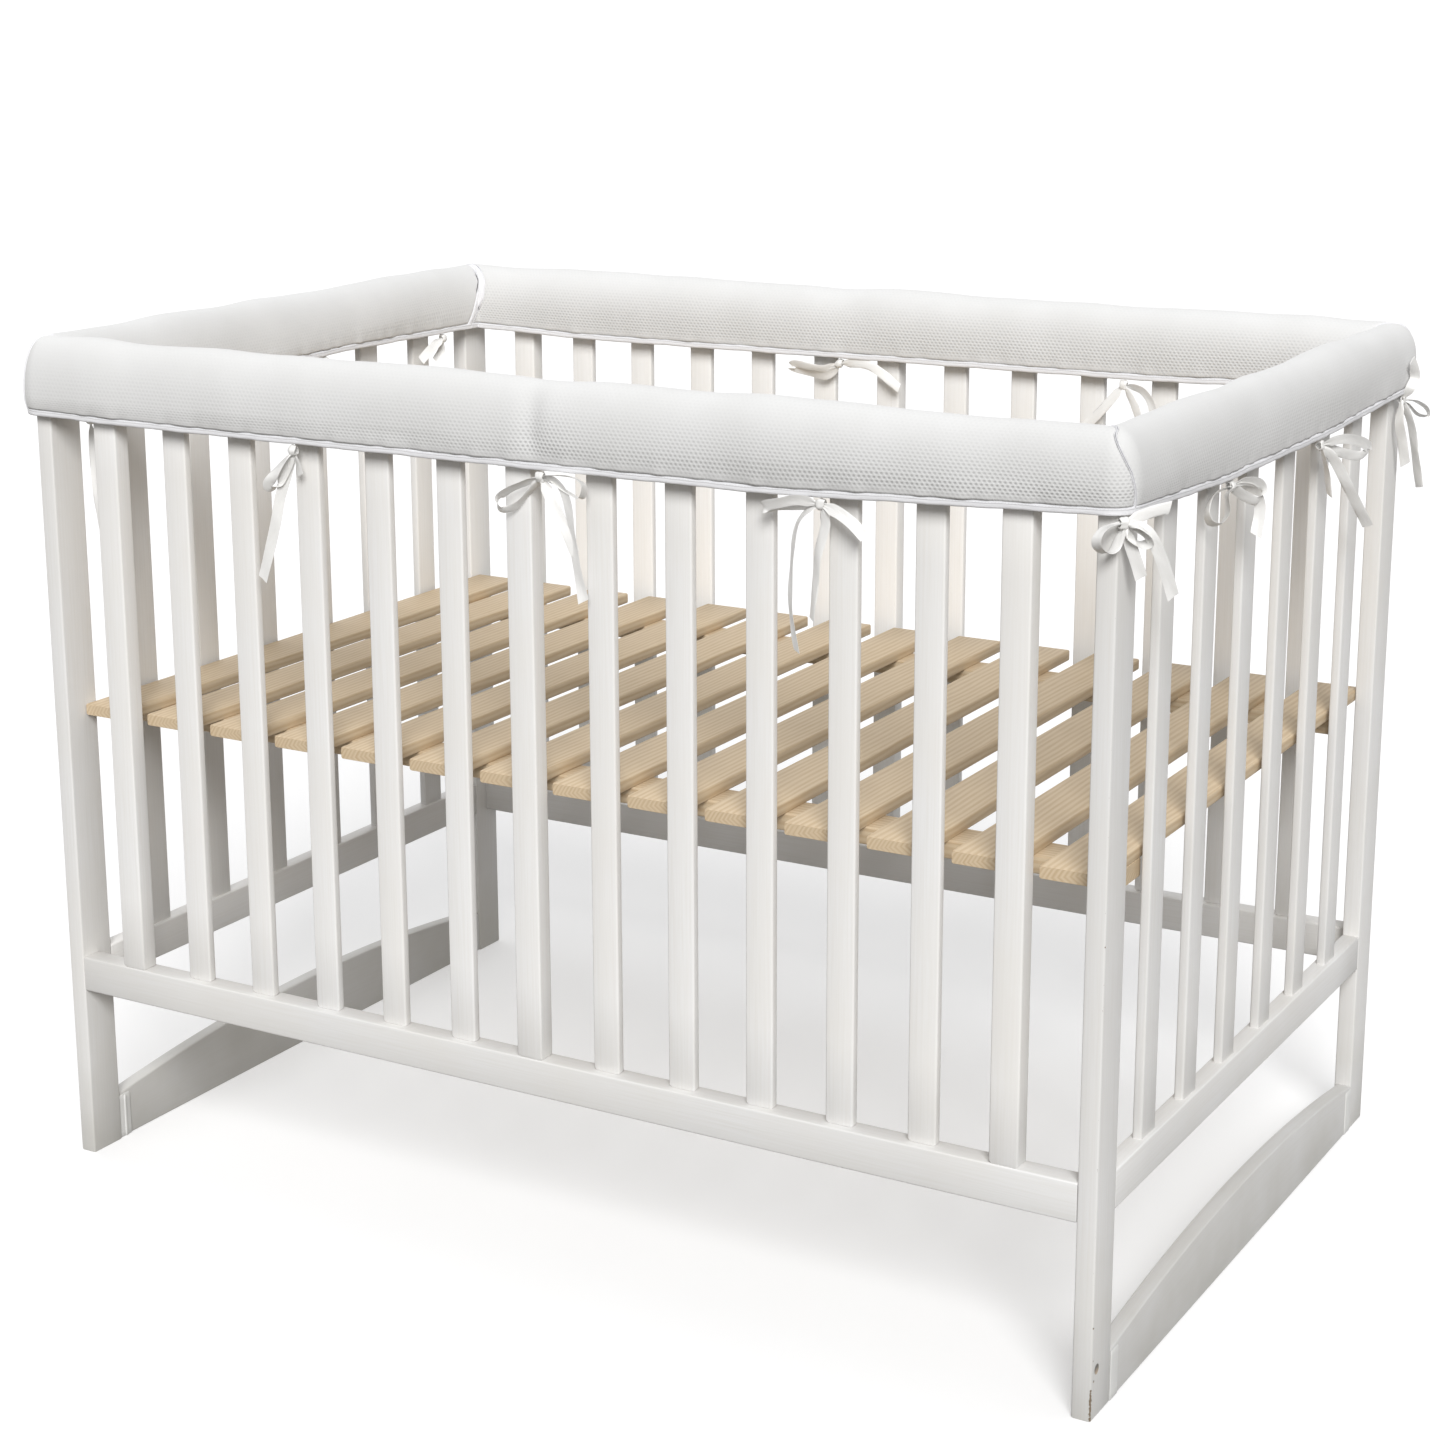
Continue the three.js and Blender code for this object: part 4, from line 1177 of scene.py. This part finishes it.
def bracket_sticks(low, high, inner, seed):
    """The two push-on brackets of a foot board, each an outer plate, an inner
    plate and an upright ridge on the inner one."""
    thick, wall, bite = BOARD["thickness"], BRACKET["wall"], BRACKET["bite"]
    ridge, deep = BRACKET["ridge"], BRACKET["ridge_depth"]
    tall, foot = BRACKET["height"], BRACKET["foot"]
    outer_face = high[0] if inner < 0 else low[0]
    sticks = []
    for end in (-1, 1):
        edge = low[1] if end < 0 else high[1]
        y0, y1 = sorted((edge, edge - end * BRACKET["length"]))
        middle = (y0 + y1) / 2
        plates = (
            (-BRACKET["lift"], bite, y0, y1, tall),
            (thick - bite, thick + wall, y0, y1, tall),
            (thick, thick + wall + deep, middle - ridge, middle + ridge, tall - bite),
            (0.0, thick, y0, y1, wall),
        )
        for i, (x0, x1, ya, yb, height) in enumerate(plates):
            xa, xb = sorted((outer_face + inner * x0, outer_face + inner * x1))
            corners = ([xa, ya, foot], [xb, yb, height])
            sticks.append(stick(*corners, "z", BRACKET["edge"], seed + i))
    return sticks


class CRIB_OT_foot_boards(bpy.types.Operator):
    """Make the arched boards between the feet and their push-on brackets"""

    bl_idname = "crib.foot_boards"
    bl_label = "Foot boards"

    def execute(self, context):
        sizes = settings().wood
        # The foot boards' paint is much darker: painted shade low under the crib.
        material = painted_wood(sizes, 0.80)
        plastic = moulded_plastic((0.72, 0.72, 0.70))
        for end, inner in (("left", 1), ("right", -1)):
            node = f"foot_board_{end}"
            low, high = box_of(node)
            board = [arched_board(low, high, inner, sizes.edge, 80)]
            mesh_piece(f"{end}_foot_board", node, board, material, WOOD_CREASE)
            sticks = bracket_sticks(low, high, inner, 90)
            mesh_piece(f"{end}_foot_brackets", node, sticks, plastic, WOOD_CREASE)
        return {"FINISHED"}


# Sizes of the base's slats and battens
BASE = {
    "thickness": 0.013,
    "slats": 14,
    "width": 0.058,
    "batten": 0.044,
    "inset": 0.060,
    "edge": 0.002,
}


class CRIB_OT_base(bpy.types.Operator):
    """Make the lying base of bare slats on two battens"""

    bl_idname = "crib.base"
    bl_label = "Base"

    def execute(self, context):
        material = bare_wood(settings().wood)
        low, high = box_of("base")
        under = high[2] - BASE["thickness"]
        pitch = (high[0] - low[0] - BASE["width"]) / (BASE["slats"] - 1)
        sticks = []
        for i in range(BASE["slats"]):
            x = low[0] + i * pitch
            corners = ([x, low[1], under], [x + BASE["width"], high[1], high[2]])
            sticks.append(stick(*corners, "y", BASE["edge"], 100 + i))
        for sign, edge in ((1, low[1]), (-1, high[1])):
            near = edge + sign * BASE["inset"]
            y0, y1 = sorted((near, edge + sign * (BASE["inset"] + BASE["batten"])))
            corners = ([low[0], y0, low[2]], [high[0], y1, under + 0.0005])
            sticks.append(stick(*corners, "x", BASE["edge"], 120 + sign))
        mesh_piece("slatted_base", "base", sticks, material, WOOD_CREASE)
        return {"FINISHED"}


class CRIB_OT_covers(bpy.types.Operator):
    """Make the four padded covers, each one sheet folded over its rail"""

    bl_idname = "crib.covers"
    bl_label = "Covers"

    def execute(self, context):
        cover = settings().cover
        material = mesh_cloth(cover)
        for seed, (name, side) in enumerate(SIDES.items()):
            outer, inner, uv, slack = pad_form(cover, name, 3 + 5 * seed)
            wall = closed_wall(to_world(side, outer), to_world(side, inner), uv)
            label, node = f"{name}_padded_cover", f"cover_{name}"
            piece = mesh_piece(label, node, [(wall, ())], material)
            layer = piece.data.attributes.new("slack", "FLOAT", "POINT")
            numbers = np.concatenate([slack, slack[:, ::-1]], axis=1)
            layer.data.foreach_set("value", numbers.astype(np.float32).ravel())
        return {"FINISHED"}


# The bindings: what they leave free before a seam, how far the end strips stand
# proud and how thick they are, their edge's radius, and the stitches' distance
# from an end strip's inner edge
SEAM_FREE, PROUD, STRIP_DEPTH, STRIP_EDGE, STITCH_INSET = (
    v * MM for v in (0.2, 0.5, 3.4, 1.6, 1.4)
)

# The bindings of the hems: their edge's radius, how far they stand out from the
# pad, the share of its tuck that they follow, and where their wobble fades out
HEM_EDGE, HEM_PROUD, HEM_TUCK, WOBBLE_END = 2.4 * MM, 0.9 * MM, 0.7, 0.06

# Rows and columns of an end strip
STRIP_ROWS, STRIP_COLUMNS = 9, 90


def hem_binding(cover, name, face):
    """The binding along one hem: a rounded strip carried along the hem's line.
    face is -1 for the outer hem and 1 for the inner one."""
    side = SIDES[name]
    wall = side["rail"] + cover.clearance
    outside = cover.half_width - HEM_TUCK * cover.tuck + HEM_PROUD
    t = run_places(side["steps"], 0.5)
    to_end = (1 - np.abs(t)) * side["half"]
    corner = smooth(1 - to_end / CORNER_REACH)
    inner_line = wall + (cover.corner_wall - wall) * corner - SEAM_FREE
    middle = face * (outside + inner_line) / 2
    hem = hem_height(name, t * side["half"])
    x, y, along, _ = run_to_mitre(name, middle, hem, t, (SEAM_FREE, SEAM_FREE))
    wobble = waves(along, 40 + side["turn"] + face, WOBBLE)
    wobble = wobble * np.clip(to_end / WOBBLE_END, 0, 1)
    path = np.stack([x, y, hem + cover.binding_height / 2 + wobble], axis=-1)
    ahead = unit(np.gradient(path, axis=0))
    up = np.broadcast_to(np.array([0.0, 0.0, 1.0]), path.shape)
    across = unit(np.cross(ahead, up))
    widest = outside - wall
    outline = rounded_outline(widest, cover.binding_height, HEM_EDGE, 4)
    narrow = ((outside - inner_line) / widest)[:, None, None]
    points, uv = carried(path, across, up, outline)
    points = points - across[:, None, :] * outline[None, :, :1] * (1 - narrow)
    around = np.append(outline[:, 1], outline[0, 1]) + cover.binding_height / 2
    uv[..., 1] = around[None, :]
    return points, uv, uv[-1, 0, 0]


def end_binding(cover, name, end, width):
    """The binding round a pad's end: a strip of the cover's own surface, from the
    hem over the top to the other hem, that stands a little proud and is rounded
    at its two edges. Returns its outer and inner surface and its uv."""
    side = SIDES[name]
    shares, girth = even_shares(cover, name, STRIP_COLUMNS, 0.0)
    shares = shares[None, :]
    back = np.linspace(width, SEAM_FREE, STRIP_ROWS)[::end, None]
    t = np.full((STRIP_ROWS, 1), float(end))
    y, z = section(cover, name, t * side["half"], shares, 0.0)
    z = np.broadcast_to(z, (STRIP_ROWS, STRIP_COLUMNS))
    x, y_turned, along, _ = run_to_mitre(name, y, z, t, (back, back))
    outer = np.stack([x, y_turned, z], axis=-1)
    edge = np.minimum(back - SEAM_FREE, width - back)
    bulge = PROUD - end_round(edge, min(STRIP_EDGE, width / 2))
    normal = surface_normals(outer)
    outer = outer + normal * bulge[..., None]
    across = np.broadcast_to(np.linspace(0, girth, STRIP_COLUMNS), along.shape)
    inward = np.broadcast_to(back + STITCH_LINE - (width - STITCH_INSET), along.shape)
    return outer, outer - normal * STRIP_DEPTH, np.stack([across, inward], axis=-1), girth


class CRIB_OT_bindings(bpy.types.Operator):
    """Make the bindings round the hems and ends of the covers"""

    bl_idname = "crib.bindings"
    bl_label = "Bindings"

    def execute(self, context):
        cover = settings().cover
        material = woven_cloth(cover)
        for name, side in SIDES.items():
            parts, total = [], 0.0
            for face in (-1, 1):
                points, uv, length = hem_binding(cover, name, face)
                parts.append(capped(to_world(side, points), uv))
                total += length
            for end, width in zip((-1, 1), END_BINDINGS[name]):
                outer, inner, uv, length = end_binding(cover, name, end, width * MM)
                wall = closed_wall(to_world(side, outer), to_world(side, inner), uv)
                parts.append((wall, ()))
                total += length
            label, node = f"{name}_cover_binding", f"binding_{name}"
            piece = mesh_piece(label, node, parts, material, TAPE_CREASE)
        return {"FINISHED"}


# Points along each span of a ribbon's line and across the ribbon, and the length
# of ribbon wound in a knot
RIBBON_STEPS, RIBBON_ACROSS, WOUND_LENGTH = 9, 9, 32 * MM

# How deep a ribbon is dished, rippled and, near the knot, gathered, and what is
# left of its width where it is gathered
DISH, RIPPLE, GATHER, GATHERED_WIDTH = 0.9 * MM, 0.35 * MM, 0.9 * MM, 0.42

# Where from the knot's middle a ribbon starts to spread and over what length, the
# length of its ripples, and the points over which its end is cut on a slant
SPREAD_START, SPREAD_REACH, RIPPLE_LENGTH, CUT_POINTS = 3 * MM, 11 * MM, 7.5 * MM, 6

# A knot's half length, its depth and height from the middle, and the inside of
# its wrap as a share of the outside
KNOT_HALF, KNOT_DEPTH, KNOT_HEIGHT, KNOT_INSIDE = 4.2 * MM, 4.4 * MM, 5.6 * MM, 0.84


def ribbon_strip(points, across, ribbon, seed):
    """A ribbon along a smooth line through points, given in millimetres from the
    knot's middle. Its width lies along directions that change evenly from the
    first of across to the last, square to the line. It is gathered near the
    knot, dished a little across and cut on a slant."""
    path = smooth_path(np.array(points) * MM)
    length = distances(path)
    ahead = unit(np.gradient(path, axis=0))
    table = np.array(across, float)
    places = np.linspace(0, length[-1], len(table)) if len(table) > 1 else np.zeros(1)
    width = np.stack([np.interp(length, places, table[:, k]) for k in range(3)], axis=-1)
    width = unit(width - ahead * np.sum(width * ahead, axis=1, keepdims=True))
    through = np.cross(ahead, width)
    rng = np.random.default_rng(seed)
    from_knot = np.linalg.norm(path, axis=1)
    spread = smooth((from_knot - SPREAD_START) / SPREAD_REACH)
    spread = GATHERED_WIDTH + (1 - GATHERED_WIDTH) * spread
    u = np.linspace(-1, 1, RIBBON_ACROSS)
    side_to_side = np.concatenate([u, u[::-1]])
    edge = np.sqrt(np.clip(1 - np.abs(side_to_side) ** 12, 0.1, 1))
    over = np.repeat([1, -1], RIBBON_ACROSS) * ribbon.thickness / 2 * edge
    spread = spread[:, None]
    dish = DISH * rng.choice([-1, 1]) * (1 - spread * 0.4) * side_to_side**2
    phase = rng.uniform(0, 6.3, 3)
    ripple = RIPPLE * np.sin(length[:, None] / RIPPLE_LENGTH + phase[0] + 1.4 * side_to_side)
    gathers = (1 - spread) * GATHER * np.sin(7 * side_to_side + phase[1])
    lift = over + dish + ripple + gathers
    reach = side_to_side * spread * ribbon.width / 2
    cut = np.zeros_like(length)
    cut[-CUT_POINTS:] = np.linspace(0, 1, CUT_POINTS) ** 2
    slant = rng.uniform(0.15, 0.45) * rng.choice([-1, 1]) * reach * cut[:, None]
    grid_points = (
        path[:, None, :]
        + width[:, None, :] * reach[..., None]
        + through[:, None, :] * lift[..., None]
        + ahead[:, None, :] * slant[..., None]
    )
    sideways = np.concatenate([u, u[::-1], u[:1]]) * ribbon.width / 2
    uv = np.stack(np.meshgrid(length, sideways, indexing="ij"), axis=-1)
    return grid_points, uv, length[-1]


def knot_wrap(ribbon, seed):
    """The knot: a ribbon wound once round the gathered middle. Its line is an
    oval (r cos a, r sin a) upright across the loops, bumpy by sine waves."""
    rng = np.random.default_rng(seed)
    a = np.linspace(0, 2 * math.pi, 37)[:-1]
    r = 1 + 0.07 * np.sin(3 * a + rng.uniform(0, 6)) + 0.05 * np.sin(5 * a + rng.uniform(0, 6))
    tilt = rng.uniform(-0.25, 0.25)
    u = np.linspace(-1, 1, 7)
    half = KNOT_HALF * (1 + 0.12 * np.sin(2 * a + rng.uniform(0, 6)))
    barrel = 1 - 0.22 * u**2
    pleat = 1 + 0.06 * np.sin(5 * u + rng.uniform(0, 6))
    shells = []
    for scale in (1.0, KNOT_INSIDE):
        ring_y = KNOT_DEPTH * scale * (r * np.cos(a))[:, None] * (barrel * pleat)
        ring_z = KNOT_HEIGHT * scale * (r * np.sin(a))[:, None] * (barrel * pleat)
        ring_x = u * half[:, None] + tilt * ring_z
        shells.append(np.stack([ring_x, ring_y, ring_z], axis=-1))
    outer, inner = shells
    ring = np.concatenate([outer, inner[:, ::-1]], axis=1)
    ring = np.concatenate([ring, ring[:1]], axis=0)
    rows, columns = ring.shape[:2]
    around = np.linspace(0, WOUND_LENGTH, rows)
    sideways = np.concatenate([u, u[::-1], u[:1]]) * ribbon.width / 2
    uv = np.stack(np.meshgrid(around, sideways, indexing="ij"), axis=-1)
    points, faces, corner_uv = grid(ring, uv, wrap=True)
    last = (rows - 1) * columns
    faces = np.where(faces >= last, faces - last, faces)
    return points[:last], faces, corner_uv


def bow_to_world(name, at, face, points):
    """Turns a bow's own points outwards, inwards or past the corner and moves
    them to the knot's place under its side's hem."""
    middle, turn = {
        "outer": (-BOW_LINE * MM, 0),
        "inner": (BOW_LINE * MM, math.pi),
        "corner": (SIDES[name]["half"] - at * MM, math.pi / 4),
    }[face]
    place = (at * MM, middle, hem_height(name, at * MM) - KNOT_DROP * MM)
    return to_world(SIDES[name], turned(points, turn) + place)


class CRIB_OT_bows(bpy.types.Operator):
    """Tie the satin ribbons: knots, loops and free ends"""

    bl_idname = "crib.bows"
    bl_label = "Bows"

    def execute(self, context):
        ribbon = settings().ribbon
        material = satin(ribbon)
        for seed, ((node, name, at, face), strips) in enumerate(BOWS.items()):
            points, *faces_and_uv = knot_wrap(ribbon, 500 + seed)
            knot = (bow_to_world(name, at, face, points), *faces_and_uv)
            parts, total = [(knot, ())], WOUND_LENGTH
            for number, (line, across) in enumerate(strips, 300 + 10 * seed):
                form, uv, length = ribbon_strip(line, across, ribbon, number)
                parts.append(capped(bow_to_world(name, at, face, form), uv))
                total += length
            label = node.replace("tie_", "ribbon_")
            piece = mesh_piece(label, node, parts, material, RIBBON_CREASE)
        return {"FINISHED"}


def studio_air(stage):
    """The light from all round: even and white above, dim and warm from below,
    as a wooden floor gives back."""
    world = bpy.data.worlds.new("studio_air")
    world.use_nodes = True
    nodes, links = world.node_tree.nodes, world.node_tree.links
    direction, height, above, mixed = (
        nodes.new(f"ShaderNode{kind}") for kind in ("TexCoord", "SeparateXYZ", "MapRange", "Mix")
    )
    mixed.data_type = "RGBA"
    above.inputs["From Min"].default_value = -0.03
    above.inputs["From Max"].default_value = 0.0
    mixed.inputs[6].default_value = (*stage.below, 1)
    mixed.inputs[7].default_value = (*stage.above, 1)
    links.new(direction.outputs["Generated"], height.inputs[0])
    links.new(height.outputs["Z"], above.inputs[0])
    links.new(above.outputs[0], mixed.inputs[0])
    links.new(mixed.outputs[2], nodes["Background"].inputs["Color"])
    nodes["Background"].inputs["Strength"].default_value = 1.0
    return world


def stage_piece(name, finish, points, faces, colour, roughness, glow, unseen_by):
    """A piece of the stage that gives white light of its own, and that some kinds
    of rays pass through."""
    shading = Shading(finish, colour, roughness)
    shading.shader.inputs["Specular IOR Level"].default_value = 0.0
    shading.shader.inputs["Emission Color"].default_value = (1, 1, 1, 1)
    shading.shader.inputs["Emission Strength"].default_value = glow
    mesh = bpy.data.meshes.new(name)
    mesh.from_pydata(points, [], faces)
    mesh.materials.append(shading.material)
    piece = bpy.data.objects.new(name, mesh)
    for ray in unseen_by:
        setattr(piece, f"visible_{ray}", False)
    bpy.context.scene.collection.objects.link(piece)


def white_dome(radius):
    """A white half sphere round the floor's middle, seen only by the camera:
    r (cos e cos a, cos e sin a, sin e)."""
    columns, rows = 48, 13
    around = np.linspace(0, 2 * math.pi, columns + 1)[:-1]
    up = np.linspace(-0.02, 0.495 * math.pi, rows)
    e, a = np.meshgrid(up, around, indexing="ij")
    points = radius * np.stack([np.cos(e) * np.cos(a), np.cos(e) * np.sin(a), np.sin(e)], axis=-1)
    points, faces, _ = grid(points, np.zeros((rows, columns + 1, 2)), wrap=True, flip=True)
    top = np.arange((rows - 1) * columns, rows * columns)[::-1]
    faces = [*faces.tolist(), top.tolist()]
    rays = ("diffuse", "glossy", "transmission", "volume_scatter", "shadow")
    black = (0.0, 0.0, 0.0)
    stage_piece("backdrop", "white_backdrop", points.tolist(), faces, black, 1.0, 1.05, rays)


class CRIB_OT_stage(bpy.types.Operator):
    """Make the floor, the lights and the camera"""

    bl_idname = "crib.stage"
    bl_label = "Stage"

    def execute(self, context):
        stage = settings().stage
        half = stage.floor / 2
        points = [(x, y, 0) for x in (-half, half) for y in (-half, half)]
        finish = (stage.floor_colour, 0.9, stage.floor_glow, ("diffuse",))
        stage_piece("floor", "pale_floor", points, [(0, 2, 3, 1)], *finish)
        white_dome(stage.dome)
        context.scene.world = studio_air(stage)

        far_side = stage.key_side + stage.fill_side
        lights = (
            ("key_light", stage.key, stage.key_spread, stage.key_side),
            ("fill_light", stage.fill, stage.fill_spread, far_side),
        )
        for name, strength, spread, azimuth in lights:
            sun = bpy.data.lights.new(name, "SUN")
            sun.energy, sun.angle = strength, spread
            lamp = bpy.data.objects.new(name, sun)
            lamp.rotation_euler = Euler((math.pi / 2 - stage.key_height, 0, azimuth), "XYZ")
            context.scene.collection.objects.link(lamp)

        data = bpy.data.cameras.new("camera")
        data.sensor_width, data.lens, data.shift_y = 36.0, stage.lens, stage.drop
        data.clip_end = 200.0
        camera = bpy.data.objects.new("camera", data)
        camera.location = np.array(stage.stand) + np.array([*CRIB_MIDDLE[:2], 0.0])
        pitch, roll, turn = stage.aim
        camera.rotation_euler = Euler((math.pi / 2 - pitch, roll, turn), "XYZ")
        context.scene.collection.objects.link(camera)
        context.scene.camera = camera
        context.scene.view_settings.view_transform = "Standard"
        return {"FINISHED"}


class CRIB_PT_panel(bpy.types.Panel):
    """Lists the steps that build the crib"""

    bl_idname = "CRIB_PT_panel"
    bl_label = "Crib with padded rail covers"
    bl_space_type = "VIEW_3D"
    bl_region_type = "UI"
    bl_category = "Crib"

    def draw(self, context):
        for operator in OPERATORS:
            self.layout.operator(operator.bl_idname)


OPERATORS = (
    CRIB_OT_stage,
    CRIB_OT_posts,
    CRIB_OT_rails,
    CRIB_OT_slats,
    CRIB_OT_end_frames,
    CRIB_OT_foot_boards,
    CRIB_OT_base,
    CRIB_OT_covers,
    CRIB_OT_bindings,
    CRIB_OT_bows,
)
CLASSES = (WoodSizes, CoverSizes, RibbonSizes, StageSizes, CribSizes, *OPERATORS, CRIB_PT_panel)


def register():
    """Registers the classes and hangs the sizes on the scene."""
    for item in CLASSES:
        bpy.utils.register_class(item)
    bpy.types.Scene.crib = bpy.props.PointerProperty(type=CribSizes)


def unregister():
    """Takes the sizes and the classes away again."""
    del bpy.types.Scene.crib
    for item in reversed(CLASSES):
        bpy.utils.unregister_class(item)


def main():
    """Builds every piece in order."""
    register()
    for operator in OPERATORS:
        group, name = operator.bl_idname.split(".")
        getattr(getattr(bpy.ops, group), name)()


if __name__ == "__main__":
    main()
